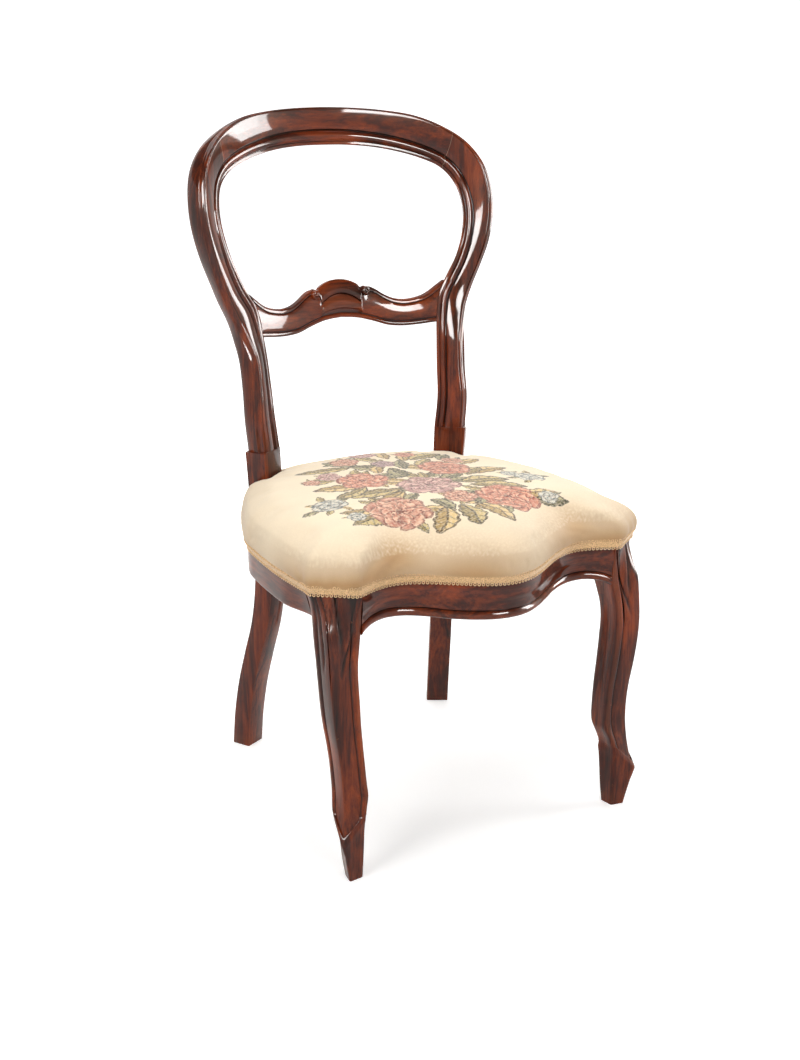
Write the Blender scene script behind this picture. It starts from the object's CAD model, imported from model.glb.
"""The looks of a balloon back chair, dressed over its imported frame, in metres."""

from __future__ import annotations

import logging
import math
from collections.abc import Callable, Iterator
from contextlib import contextmanager
from dataclasses import dataclass
from enum import Enum
from functools import cached_property

import bmesh
import bpy
import numpy as np
from mathutils import Matrix, Vector, noise


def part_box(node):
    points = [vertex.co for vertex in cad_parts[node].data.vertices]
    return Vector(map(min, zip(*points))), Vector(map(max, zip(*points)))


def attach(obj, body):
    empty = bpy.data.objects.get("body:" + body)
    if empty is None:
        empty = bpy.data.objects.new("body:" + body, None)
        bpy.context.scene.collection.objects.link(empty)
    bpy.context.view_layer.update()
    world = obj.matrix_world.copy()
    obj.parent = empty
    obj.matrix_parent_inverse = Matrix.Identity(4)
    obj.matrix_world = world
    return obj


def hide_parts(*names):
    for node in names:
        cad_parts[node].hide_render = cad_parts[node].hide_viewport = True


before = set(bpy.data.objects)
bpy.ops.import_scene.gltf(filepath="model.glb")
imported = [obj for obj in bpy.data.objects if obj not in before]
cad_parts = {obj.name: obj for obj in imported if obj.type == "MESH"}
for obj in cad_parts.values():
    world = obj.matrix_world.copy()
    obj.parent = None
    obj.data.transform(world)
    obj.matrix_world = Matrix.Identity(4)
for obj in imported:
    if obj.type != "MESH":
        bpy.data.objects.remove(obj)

log = logging.getLogger("chair")

Colour = tuple[float, float, float]
Row = tuple[float, ...]
Piece = bpy.types.Object
Material = bpy.types.Material
NodeTree = bpy.types.NodeTree
Node = bpy.types.Node
Socket = bpy.types.NodeSocket
ROOT = "root"
TONE = "tone"
PAINT = "paint"
SMOOTH_ANGLE = math.radians(38)
SIDES = {"right": 1, "left": -1}

# The tones of a section's points: a groove's dirt, its shoulder's and the dust behind
DEEP = -1
GROOVE = -0.9
BEHIND = -0.4


@dataclass(frozen=True)
class Plan:
    """The chair's driving sizes, and the places worked out from them."""

    back_height: float = 0.9
    seat_height: float = 0.3635
    seat_depth: float = 0.426
    seat_half_width: float = 0.2325
    back_half_width: float = 0.216
    notch_rise: float = 0.0915
    rail_upstand: float = 0.0315
    stile_depth: float = 0.03
    block_width: float = 0.0523
    block_depth: float = 0.048
    leg_size: float = 0.045
    front_reach_share: float = 0.6737
    block_inner_share: float = 0.7794
    block_back_share: float = -0.453
    rail_setback: float = 0.0015
    gap: float = 0.0003

    @property
    def notch_height(self) -> float:
        """Height at which the moulded stiles start."""
        return self.seat_height + self.notch_rise

    @property
    def hoop_rise(self) -> float:
        """Height of the hoop over the notch."""
        return self.back_height - self.notch_height

    @property
    def rail_top(self) -> float:
        """Height of the seat rails' upper faces."""
        return self.seat_height + self.rail_upstand

    @property
    def block_inner(self) -> float:
        """Inner face of a front leg's top block."""
        return self.block_inner_share * self.seat_half_width

    @property
    def block_back(self) -> float:
        """Back face of a front leg's top block."""
        return self.block_back_share * self.seat_depth

    @property
    def front_end(self) -> float:
        """Depth at which the front rail meets the leg blocks."""
        return self.block_back - self.block_depth + self.rail_setback

    @cached_property
    def shift(self) -> float:
        """How far the frame's origin lies from the plan's own."""
        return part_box("front_rail")[0].y + self.front_reach_share * self.seat_depth


PLAN = Plan()


def step_up(value: float, low: float, high: float) -> float:
    """Rises smoothly from 0 at low to 1 at high.

    Args:
        value: The number to place.
        low: Where the rise starts.
        high: Where the rise ends.

    Returns:
        The share of the rise, from 0 to 1.
    """
    share = min(max((value - low) / (high - low), 0.0), 1.0)
    return share * share * (3 - 2 * share)


def curved_at(table: list[Row], share: float) -> float:
    """Reads the second column of a table on a smooth curve through its rows.

    Args:
        table: Rows of share and value.
        share: The share to read at.

    Returns:
        The value at that share.
    """
    rows = np.array(table)
    slopes = np.gradient(rows[:, 1], rows[:, 0])
    k = int(np.clip(np.searchsorted(rows[:, 0], share) - 1, 0, len(rows) - 2))
    span = rows[k + 1, 0] - rows[k, 0]
    t = min(max((share - rows[k, 0]) / span, 0), 1)
    h = 2 * t**3 - 3 * t**2 + 1
    bend = (t**3 - 2 * t**2 + t) * slopes[k] + (t**3 - t**2) * slopes[k + 1]
    return float(h * rows[k, 1] + (1 - h) * rows[k + 1, 1] + span * bend)


def bowed(start: Row, end: Row, rise: float, count: int) -> list[tuple[float, float]]:
    """Points on a shallow bow between two points.

    Args:
        start: First point.
        end: Last point.
        rise: Height of the bow, to the left of the way from start to end.
        count: Number of points, both ends included.

    Returns:
        The points in order.
    """
    a, b = np.array(start), np.array(end)
    along = b - a
    normal = np.array((-along[1], along[0])) / max(np.linalg.norm(along), 1e-9)
    shares = np.linspace(0, 1, count)
    return [tuple(a + t * along + normal * rise * 4 * t * (1 - t)) for t in shares]


def toned(points: list[Row], tone: float, turn: int | None = None, after: float = 0.0) -> list[Row]:
    """Adds a tone to each point of a curve.

    Args:
        points: Points as rows of two.
        tone: Their tone.
        turn: The point from which the other tone counts, if there is one.
        after: That other tone.

    Returns:
        The points as rows of three.
    """
    return [(a, b, tone if turn is None or k < turn else after) for k, (a, b) in enumerate(points)]


def swelling(points: list[Row], gain: float, base: float) -> list[Row]:
    """Adds a tone to each point of a bead, brightest on its crown.

    Args:
        points: Points as rows of two.
        gain: How much brighter the crown is than the ends.
        base: How dark the ends are.

    Returns:
        The points as rows of three.
    """
    last = len(points) - 1
    return [(a, b, gain * math.sin(math.pi * k / last) - base) for k, (a, b) in enumerate(points)]


def bell(values: np.ndarray, middle: float, width: float) -> np.ndarray:
    """A bell curve, 1 at its middle."""
    return np.exp(-(((values - middle) / width) ** 2))


class SmoothPath:
    """A centripetal curve through points, the same kind as the frame's curves."""

    def __init__(self, points: np.ndarray) -> None:
        """Keeps the points that the curve passes."""
        self.points = np.asarray(points, float)

    def at(self, share: float) -> np.ndarray:
        """The point at a share of the way, counted in stretches between points.

        Args:
            share: Place along the curve, from 0 to 1.

        Returns:
            The point.
        """
        points = self.points
        last = len(points) - 1
        place = min(max(share, 0.0), 1.0) * last
        k = min(int(place), last - 1)
        t = place - k
        p1, p2 = points[k], points[k + 1]
        p0 = points[k - 1] if k > 0 else 2 * p1 - p2
        p3 = points[k + 2] if k + 2 <= last else 2 * p2 - p1
        pairs = ((p0, p1), (p1, p2), (p2, p3))
        d0, d1, d2 = (max(np.linalg.norm(b - a) ** 0.5, 1e-6) for a, b in pairs)
        m1 = ((p1 - p0) / d0 - (p2 - p0) / (d0 + d1) + (p2 - p1) / d1) * d1
        m2 = ((p2 - p1) / d1 - (p3 - p1) / (d1 + d2) + (p3 - p2) / d2) * d1
        h = 2 * t**3 - 3 * t**2 + 1
        return h * p1 + (1 - h) * p2 + (t**3 - 2 * t**2 + t) * m1 + (t**3 - t**2) * m2

    def tangent(self, share: float) -> np.ndarray:
        """The direction of the curve at a share of the way.

        Args:
            share: Place along the curve, from 0 to 1.

        Returns:
            A unit vector.
        """
        step = 1e-4
        low, high = max(share - step, 0), min(share + step, 1)
        way = self.at(high) - self.at(low)
        return way / np.linalg.norm(way)

    def spaced(self, count: int) -> np.ndarray:
        """Points along the curve at even distances.

        Args:
            count: Number of steps.

        Returns:
            The points, one more than the steps.
        """
        fine = np.array([self.at(s) for s in np.linspace(0, 1, count * 12 + 1)])
        lengths = np.concatenate(([0], np.cumsum(np.linalg.norm(np.diff(fine, axis=0), axis=1))))
        goals = np.linspace(0, lengths[-1], count + 1)
        return np.stack([np.interp(goals, lengths, fine[:, k]) for k in range(fine.shape[1])], axis=1)


@dataclass
class Skin:
    """Points, faces and the tone of each point, before they become a mesh."""

    points: np.ndarray
    faces: list[tuple[int, ...]]
    tones: np.ndarray

    def mirrored(self) -> Skin:
        """The same skin on the other side of the chair."""
        return Skin(self.points * (-1, 1, 1), [face[::-1] for face in self.faces], self.tones)

    def on_side(self, side: int) -> Skin:
        """The skin itself on the right, 1, and its mirror on the left, -1."""
        return self if side > 0 else self.mirrored()


def loft(rings: np.ndarray, tones: np.ndarray | None = None) -> Skin:
    """Skins over closed rings and caps both ends.

    Args:
        rings: Rings of equally many points, as rows by points by 3.
        tones: The tone of each point, as rows by points, or none.

    Returns:
        The closed skin.
    """
    rows, size = rings.shape[:2]
    faces = []
    for row in range(rows - 1):
        for k in range(size):
            a, b = row * size + k, row * size + (k + 1) % size
            faces.append((a, b, b + size, a + size))
    faces.append(tuple(reversed(range(size))))
    faces.append(tuple(range((rows - 1) * size, rows * size)))
    tones = np.zeros((rows, size)) if tones is None else tones
    return Skin(rings.reshape(-1, 3), faces, tones.reshape(-1))


def new_object(name: str, data: bpy.types.ID) -> Piece:
    """Makes an object of a mesh, a lamp or a camera, linked to the scene."""
    made = bpy.data.objects.new(name, data)
    bpy.context.scene.collection.objects.link(made)
    return made


def make_piece(name: str, skins: list[Skin], smooth: bool = True) -> Piece:
    """Makes one object of closed skins, moved to the frame's origin.

    Args:
        name: The object's name.
        skins: The skins that it is made of.
        smooth: Whether gentle edges are shaded smooth.

    Returns:
        The new object, linked to the scene.
    """
    build = bmesh.new()
    layer = build.verts.layers.float.new(TONE)
    for skin in skins:
        made = []
        for point, tone in zip(skin.points, skin.tones):
            vert = build.verts.new((point[0], point[1] + PLAN.shift, point[2]))
            vert[layer] = float(tone)
            made.append(vert)
        for face in skin.faces:
            build.faces.new([made[k] for k in face])
    bmesh.ops.remove_doubles(build, verts=build.verts, dist=1e-6)
    bmesh.ops.recalc_face_normals(build, faces=build.faces)
    mesh = bpy.data.meshes.new(name)
    build.to_mesh(mesh)
    build.free()
    piece = new_object(name, mesh)
    if smooth:
        soften(piece)
    return piece


def soften(piece: Piece, angle: float = SMOOTH_ANGLE) -> None:
    """Shades a piece smooth, with edges over an angle kept sharp."""
    piece.data.shade_smooth()
    piece.data.set_sharp_from_angle(angle=angle)


def places_of(piece: Piece) -> np.ndarray:
    """The places of a piece's points, as rows of x, y and z."""
    return np.array([v.co[:] for v in piece.data.vertices])


def bake_modifiers(piece: Piece) -> None:
    """Turns the evaluated shape of a piece into its own mesh, with no modifier left."""
    graph = bpy.context.evaluated_depsgraph_get()
    made = bpy.data.meshes.new_from_object(piece.evaluated_get(graph))
    piece.modifiers.clear()
    piece.data = made


def apply_boolean(piece: Piece, tool: Piece, operation: str) -> None:
    """Joins or cuts a piece with a tool exactly, and removes the tool.

    Args:
        piece: The piece that changes.
        tool: The other solid.
        operation: UNION or DIFFERENCE.
    """
    modifier = piece.modifiers.new("cut", "BOOLEAN")
    modifier.operation = operation
    modifier.solver = "MANIFOLD"
    modifier.object = tool
    bake_modifiers(piece)
    bpy.data.objects.remove(tool)


@contextmanager
def editing(piece: Piece) -> Iterator[bmesh.types.BMesh]:
    """Opens a piece's mesh for changes, and writes them back.

    Args:
        piece: The piece.

    Returns:
        The mesh to change.
    """
    build = bmesh.new()
    build.from_mesh(piece.data)
    yield build
    build.to_mesh(piece.data)
    build.free()


def cut_at_plane(piece: Piece, point: Row, normal: Row) -> None:
    """Cuts away what lies on the normal's side of a plane, and closes the cut.

    Args:
        piece: The piece that is cut.
        point: A point of the plane.
        normal: The direction of what goes.
    """
    with editing(piece) as build:
        geometry = [*build.verts, *build.edges, *build.faces]
        plane = {"plane_co": point, "plane_no": normal, "clear_outer": True}
        cut = bmesh.ops.bisect_plane(build, geom=geometry, **plane)["geom_cut"]
        edges = [item for item in cut if isinstance(item, bmesh.types.BMEdge)]
        bmesh.ops.holes_fill(build, edges=edges)


def add_node(
    tree: NodeTree, kind: str, inputs: dict[str | int, object] | None = None, **settings: object
) -> Node:
    """Adds a node, sets its options, and fills its sockets with values or links.

    Args:
        tree: The tree that the node goes in.
        kind: The node's type name.
        inputs: Socket name or number to a value, or to another node's output.
        **settings: The node's own options.

    Returns:
        The new node.
    """
    made = tree.nodes.new(kind)
    for key, value in settings.items():
        setattr(made, key, value)
    for key, value in (inputs or {}).items():
        if isinstance(value, Socket):
            tree.links.new(value, made.inputs[key])
        else:
            made.inputs[key].default_value = value
    return made


class ShaderTree:
    """A new material's nodes, with a short call for each thing that the finishes are made of."""

    def __init__(self, name: str) -> None:
        """Makes the material with an empty tree."""
        self.material = bpy.data.materials.new(name)
        self.material.use_nodes = True
        self.tree = self.material.node_tree
        self.tree.nodes.clear()

    def add(self, kind: str, inputs: dict | None = None, **settings: object) -> Node:
        """Adds a shader node of a kind, as add_node does."""
        return add_node(self.tree, f"ShaderNode{kind}", inputs, **settings)

    def place(self) -> Socket:
        """The place of the point that is shaded, in its object."""
        return self.add("TexCoord").outputs["Object"]

    def stretched(self, scale: Row) -> Socket:
        """The same place, scaled along each axis."""
        return self.add("Mapping", {"Vector": self.place(), "Scale": scale}).outputs["Vector"]

    def attribute(self, name: str, output: str) -> Socket:
        """What the mesh's points hold under a name."""
        return self.add("Attribute", attribute_name=name).outputs[output]

    def noise(
        self, vector: Socket, scale: float, detail: float, roughness: float = 0.5, distortion: float = 0.0
    ) -> Socket:
        """Adds noise.

        Args:
            vector: The place that it depends on.
            scale: How fine it is.
            detail: How many finer layers it has.
            roughness: How strong these are.
            distortion: How far it is swirled.

        Returns:
            The noise, from 0 to 1.
        """
        names = ("Vector", "Scale", "Detail", "Roughness", "Distortion")
        inputs = dict(zip(names, (vector, scale, detail, roughness, distortion)))
        return self.add("TexNoise", inputs).outputs["Fac"]

    def maths(self, operation: str, *values: Socket | float, clamp: bool = False) -> Socket:
        """Adds a maths node on numbers or sockets."""
        return self.add("Math", dict(enumerate(values)), operation=operation, use_clamp=clamp).outputs[0]

    def ramp(self, factor: Socket, *stops: tuple[float, Colour]) -> Socket:
        """Adds a colour ramp.

        Args:
            factor: What drives it.
            *stops: Place and colour of each stop.

        Returns:
            The ramp's colour.
        """
        made = self.add("ValToRGB", {"Fac": factor})
        elements = made.color_ramp.elements
        while len(elements) < len(stops):
            elements.new(0.5)
        for element, (place, colour) in zip(elements, stops):
            element.position = place
            element.color = (*colour, 1)
        return made.outputs["Color"]

    def mix(
        self, factor: Socket | float, first: Socket, second: Socket | Colour, mode: str = "MIX"
    ) -> Socket:
        """Mixes a second colour into a first.

        Args:
            factor: How much of the second.
            first: The colour so far.
            second: A plain colour or a socket.
            mode: The kind of mix.

        Returns:
            The mixed colour.
        """
        colour = (*second, 1) if isinstance(second, tuple) else second
        inputs = {0: factor, 6: first, 7: colour}
        return self.add("Mix", inputs, data_type="RGBA", blend_type=mode, clamp_factor=True).outputs[2]

    def output(self, shader: Node) -> Material:
        """Ends the tree with a shader and returns the material."""
        self.add("OutputMaterial", {"Surface": shader.outputs[0]})
        return self.material

    def finish(
        self, colour: Socket, roughness: Socket | float, relief: tuple, more: dict
    ) -> Material:
        """Ends the tree with a surface in relief.

        Args:
            colour: Its colour.
            roughness: Its roughness.
            relief: The relief's height, strength and distance.
            more: The shader's other values by name.

        Returns:
            The finished material.
        """
        bump = self.add("Bump", dict(zip(("Height", "Strength", "Distance"), relief)))
        inputs = {"Base Color": colour, "Roughness": roughness, "Normal": bump.outputs["Normal"]}
        return self.output(self.add("BsdfPrincipled", {**inputs, **more}))


class Grain(Enum):
    """The direction in which the wood's grain runs."""

    ACROSS = 0
    DEPTH = 1
    UPRIGHT = 2


# How far each layer of the wood reaches along the grain, and its noise's scale, detail and so on
WOOD_LAYERS: list[Row] = [
    (0.11, 46, 5, 0.62, 0.9),
    (0.035, 330, 4, 0.6),
    (0.5, 17, 3),
    (0.03, 1500, 2),
]


@dataclass(frozen=True)
class Mahogany:
    """Polished red-brown wood with figure, pores, dirt in its grooves and worn edges."""

    name: str
    grain: Grain
    dark: Colour = (0.012, 0.0024, 0.0013)
    middle: Colour = (0.06, 0.008, 0.0018)
    bright: Colour = (0.25, 0.041, 0.0052)
    dirt: Colour = (0.008, 0.003, 0.0022)
    worn: Colour = (0.36, 0.115, 0.045)
    glue: Colour = (0.33, 0.22, 0.16)
    layer_shares: Row = (0.5, 0.22, 0.34)
    pore_share: float = 0.37
    dirt_share: float = 0.9
    scuff_share: float = 0.68
    roughness: float = 0.36
    varnish: Colour = (1.0, 0.8, 0.62)
    specular: float = 0.06
    coat: float = 0.5
    coat_ior: float = 1.5
    coat_roughness: float = 0.06
    scuffs: float = 0.15
    relief: float = 0.0006
    seam_half: float = 0.0006
    seams: tuple[tuple[Row, Row], ...] = ()

    def layer(self, shade: ShaderTree, along: float, *noise_row: float) -> Socket:
        """One layer of noise, drawn out along the grain."""
        scale = [1.0, 1.0, 1.0]
        scale[self.grain.value] = along
        return shade.noise(shade.stretched(scale), *noise_row)

    def seam_line(self, shade: ShaderTree) -> Socket | float:
        """A thin line where the wood was glued, at each of the seams' planes.

        Args:
            shade: The material's tree.

        Returns:
            1 on a seam, 0 beside it.
        """
        total: Socket | float = 0.0
        for point, normal in self.seams:
            away = shade.add("VectorMath", {0: shade.place(), 1: point}, operation="SUBTRACT").outputs[0]
            reach = shade.add("VectorMath", {0: away, 1: normal}, operation="DOT_PRODUCT").outputs["Value"]
            near = shade.maths("LESS_THAN", shade.maths("ABSOLUTE", reach), self.seam_half)
            total = shade.maths("MAXIMUM", near, total)
        return total

    def build(self) -> Material:
        """Makes the material.

        Returns:
            The finished material.
        """
        shade = ShaderTree(self.name)
        figure, streaks, patches, pores = (self.layer(shade, *row) for row in WOOD_LAYERS)
        mixed: Socket | float = 0.0
        for layer, share in zip((figure, streaks, patches), self.layer_shares):
            mixed = shade.maths("MULTIPLY_ADD", layer, share, mixed)
        colour = shade.ramp(mixed, (0.38, self.dark), (0.5, self.middle), (0.65, self.bright))
        pore = shade.maths("LESS_THAN", pores, self.pore_share)
        colour = shade.mix(shade.maths("MULTIPLY", pore, 0.55), colour, self.dark)
        tone = shade.attribute(TONE, "Fac")
        groove = shade.maths("MULTIPLY", tone, -self.dirt_share, clamp=True)
        worn = shade.maths("MULTIPLY", shade.maths("SUBTRACT", tone, 0.15), 0.8, clamp=True)
        colour = shade.mix(shade.maths("MULTIPLY", worn, patches), colour, self.worn)
        colour = shade.mix(groove, colour, self.dirt)
        scuff = shade.noise(shade.place(), 95, 6, 0.75)
        scuffed = shade.maths("GREATER_THAN", scuff, self.scuff_share)
        colour = shade.mix(shade.maths("MULTIPLY", scuffed, self.scuffs), colour, self.worn)
        if self.seams:
            colour = shade.mix(shade.maths("MULTIPLY", self.seam_line(shade), 0.6), colour, self.glue)
        rough = shade.maths("MULTIPLY_ADD", scuff, 0.22, self.roughness - 0.1)
        rough = shade.maths("MULTIPLY_ADD", groove, 0.25, rough)
        height = shade.maths("MULTIPLY_ADD", pore, -0.5, shade.maths("MULTIPLY", patches, 1.6))
        tint = (*self.varnish, 1)
        polish = {
            "Coat Weight": self.coat, "Coat Roughness": self.coat_roughness, "Coat IOR": self.coat_ior,
            "Coat Tint": tint, "Specular IOR Level": self.specular, "Specular Tint": tint,
        }
        return shade.finish(colour, rough, (height, 0.12, self.relief), polish)


@dataclass(frozen=True)
class PlainFinish:
    """A plain matt or metal finish with fine noise, for pieces under the seat."""

    name: str
    low: Colour
    high: Colour
    scale: Row
    roughness: float
    metallic: float = 0.0
    relief: float = 0.0003

    def build(self) -> Material:
        """Makes the material.

        Returns:
            The finished material.
        """
        shade = ShaderTree(self.name)
        value = shade.noise(shade.stretched(self.scale), 1, 5, 0.65)
        colour = shade.ramp(value, (0.35, self.low), (0.65, self.high))
        return shade.finish(colour, self.roughness, (value, 0.5, self.relief), {"Metallic": self.metallic})


@dataclass(frozen=True)
class WovenCloth:
    """Plain weave of crossed threads, for webbing and hessian."""

    name: str
    low: Colour
    high: Colour
    pitch: float
    relief: float = 0.0008

    def build(self) -> Material:
        """Makes the material.

        Returns:
            The finished material.
        """
        shade = ShaderTree(self.name)
        place = shade.place()
        axes = shade.add("SeparateXYZ", {"Vector": place}).outputs
        turns = math.tau / self.pitch
        waves = [shade.maths("SINE", shade.maths("MULTIPLY", axes[k], turns)) for k in range(2)]
        weave = shade.maths("MULTIPLY_ADD", shade.maths("MULTIPLY", *waves), 0.5, 0.5)
        fuzz = shade.noise(place, 420, 4)
        value = shade.maths("MULTIPLY_ADD", weave, 0.5, shade.maths("MULTIPLY", fuzz, 0.5))
        colour = shade.ramp(value, (0.2, self.low), (0.75, self.high))
        return shade.finish(colour, 0.95, (value, 0.7, self.relief), {"Sheen Weight": 0.2})


@dataclass(frozen=True)
class Needlework:
    """Wool stitches on canvas, in the colours that each point is painted with."""

    name: str
    pitch: float = 0.0016
    relief: float = 0.0005

    def build(self) -> Material:
        """Makes the material.

        Returns:
            The finished material.
        """
        shade = ShaderTree(self.name)
        place = shade.place()
        axes = shade.add("SeparateXYZ", {"Vector": place}).outputs
        ways, turns = (axes[0], shade.maths("ADD", axes[1], axes[2])), math.tau / self.pitch
        waves = [shade.maths("SINE", shade.maths("MULTIPLY", way, turns)) for way in ways]
        fuzz = shade.noise(place, 900, 3)
        cloud = shade.noise(place, 26, 5)
        grey = shade.maths("MULTIPLY_ADD", cloud, 0.16, 0.92)
        grey = shade.maths("MULTIPLY_ADD", shade.maths("SUBTRACT", fuzz, 0.5), 0.16, grey)
        even = shade.add("CombineXYZ", dict.fromkeys(range(3), grey)).outputs[0]
        colour = shade.mix(1.0, shade.attribute(PAINT, "Color"), even, "MULTIPLY")
        height = shade.maths("MULTIPLY_ADD", shade.maths("MULTIPLY", *waves), 0.3, fuzz)
        wool = {"Sheen Weight": 0.25, "Sheen Roughness": 0.5, "Specular IOR Level": 0.2}
        return shade.finish(colour, 0.9, (height, 0.35, self.relief), wool)


@dataclass(frozen=True)
class Braid:
    """Golden beige silk braid."""

    name: str
    low: Colour = (0.40, 0.20, 0.06)
    high: Colour = (0.84, 0.55, 0.26)
    relief: float = 0.0004

    def build(self) -> Material:
        """Makes the material.

        Returns:
            The finished material.
        """
        shade = ShaderTree(self.name)
        thread = shade.noise(shade.place(), 750, 3)
        colour = shade.ramp(thread, (0.3, self.low), (0.6, self.high))
        return shade.finish(colour, 0.6, (thread, 0.5, self.relief), {"Sheen Weight": 0.3})


def dress(piece: Piece, material: Material, slot: str, *nodes: str) -> None:
    """Gives a piece its finish, and names the slot and the frame's nodes that it stands for.

    Args:
        piece: The finished piece.
        material: Its material.
        slot: The record's material slot.
        *nodes: The frame's nodes that it replaces.
    """
    piece.data.materials.clear()
    piece.data.materials.append(material)
    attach(piece, ROOT)
    if nodes:
        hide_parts(*nodes)
    log.info("%s: %d faces", piece.name, len(piece.data.polygons))


def finish_node(name: str, material: Material) -> None:
    """Gives a node of the frame a better material."""
    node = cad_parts[name]
    node.data.materials.clear()
    node.data.materials.append(material)
    log.info("%s: finished as %s", name, material.name)


HOOP_SHARES: list[Row] = [
    (0.5625, 0.2754, 0, 0.729, 0.2113, 0),
    (0.587, 0.278, 0.101, 0.743, 0.2136, 0.101),
    (0.595, 0.291, 0.191, 0.734, 0.2254, 0.193),
    (0.6065, 0.305, 0.285, 0.7384, 0.237, 0.281),
    (0.6227, 0.318, 0.357, 0.773, 0.258, 0.339),
    (0.653, 0.326, 0.427, 0.824, 0.279, 0.398),
    (0.713, 0.33, 0.479, 0.868, 0.283, 0.449),
    (0.764, 0.325, 0.528, 0.921, 0.277, 0.512),
    (0.815, 0.3286, 0.5955, 0.9676, 0.2688, 0.589),
    (0.845, 0.345, 0.674, 1, 0.2746, 0.679),
    (0.8356, 0.3685, 0.737, 0.9977, 0.2887, 0.757),
    (0.801, 0.392, 0.78, 0.965, 0.3146, 0.829),
    (0.736, 0.413, 0.8135, 0.884, 0.3545, 0.894),
    (0.6435, 0.4366, 0.836, 0.759, 0.4014, 0.9416),
    (0.509, 0.4648, 0.857, 0.597, 0.446, 0.975),
    (0.347, 0.4906, 0.873, 0.403, 0.4836, 0.991),
    (0.176, 0.508, 0.881, 0.2014, 0.508, 0.9984),
    (0, 0.5153, 0.8827, 0, 0.5188, 1),
]

REAR_LEG_SHARES: list[Row] = [
    (0, 0.652, 0.393, 0.785, 0.3556),
    (0.11, 0.6445, 0.378, 0.778, 0.3415),
    (0.22, 0.6275, 0.3556, 0.7616, 0.319),
    (0.33, 0.601, 0.325, 0.734, 0.2887),
    (0.44, 0.5685, 0.2958, 0.7014, 0.2594),
    (0.55, 0.55, 0.28, 0.684, 0.243),
    (0.66, 0.545, 0.2746, 0.6806, 0.236),
    (0.75, 0.547, 0.274, 0.6944, 0.2296),
    (0.835, 0.551, 0.2744, 0.708, 0.2207),
    (0.934, 0.557, 0.2754, 0.72, 0.2124),
    (1, 0.5625, 0.2754, 0.729, 0.2113),
]


@dataclass(frozen=True)
class HoopMoulding:
    """The section of the stiles and the crest, from the inner edge outwards."""

    depth: float = 0.03
    strip_width: float = 0.005
    strip_depth: float = 0.002
    quirk_width: float = 0.003
    crown: float = 0.0012
    bead_low: float = 0.0075
    bead_top: float = 0.014
    cove_low: float = 0.009
    cove_top: float = 0.0035
    edge_round: float = 0.003
    lean: float = 0.0065
    lean_extra: float = 0.0045

    def outline(self, width: float, top: float) -> np.ndarray:
        """The section's points.

        Args:
            width: Width of the front face, from inner to outer edge.
            top: Share from the stiles' moulding, 0, to the crest's, 1.

        Returns:
            Rows of distance from the inner edge, depth and tone.
        """
        bead = self.bead_low + (self.bead_top - self.bead_low) * top
        cove = self.cove_low + (self.cove_top - self.cove_low) * top
        lean = self.lean + self.lean_extra * 4 * top * (1 - top)
        strip, behind = self.strip_width, self.depth - self.edge_round
        bead_end = strip + bead
        face_start, face_end = bead_end + self.quirk_width, width - cove
        rows = [(0, behind, 0), (0, self.depth / 2, 0), (0, self.strip_depth, 0.2)]
        rows += [(0.0006, 0.0011, 0.4), (0.0014, 0.001, 0.2), (strip - 0.0006, 0.0018, BEHIND)]
        rows.append((strip, 0.0026, GROOVE))
        rows += swelling(bowed((strip + 0.0002, 0.0026), (bead_end, 0.0028), -0.0028, 11), 0.45, 0.2)
        rows += [(bead_end + 0.0004, 0.0038, DEEP), (bead_end + 0.0012, 0.0042, DEEP)]
        rows.append((face_start - 0.0006, 0.0032, -0.8))
        face = bowed((face_start, 0.0014), (face_end - 0.0006, 0.0006), -0.0011, 15)
        rows += [(a, b, 0.25 if k in (0, 14) else 0) for k, (a, b) in enumerate(face)]
        base, edge = self.crown / 2, (width - lean / 4, cove + self.crown)
        rows.append((face_end, base + 0.0002, 0.5))
        steps = ((0.07, 0.15, -0.6), (0.15, 0.19, GROOVE), (0.22, 0.12, 0.4), (0.32, 0.16, 0.5))
        rows += [(face_end + a * cove, base + b * cove, tone) for a, b, tone in steps]
        hollow = bowed((face_end + 0.4 * cove, base + 0.26 * cove), edge, 0.09 * cove, 7)
        rows += toned(hollow, -0.1, 6, 0.5)
        rows += toned(bowed((edge[0], edge[1] + 0.001), (width - lean, behind), -0.0008, 5), -0.3)
        rows += [(width - lean - self.edge_round, self.depth, BEHIND), (width / 2, self.depth, BEHIND)]
        return np.array([*rows, (self.edge_round, self.depth, BEHIND)])


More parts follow.
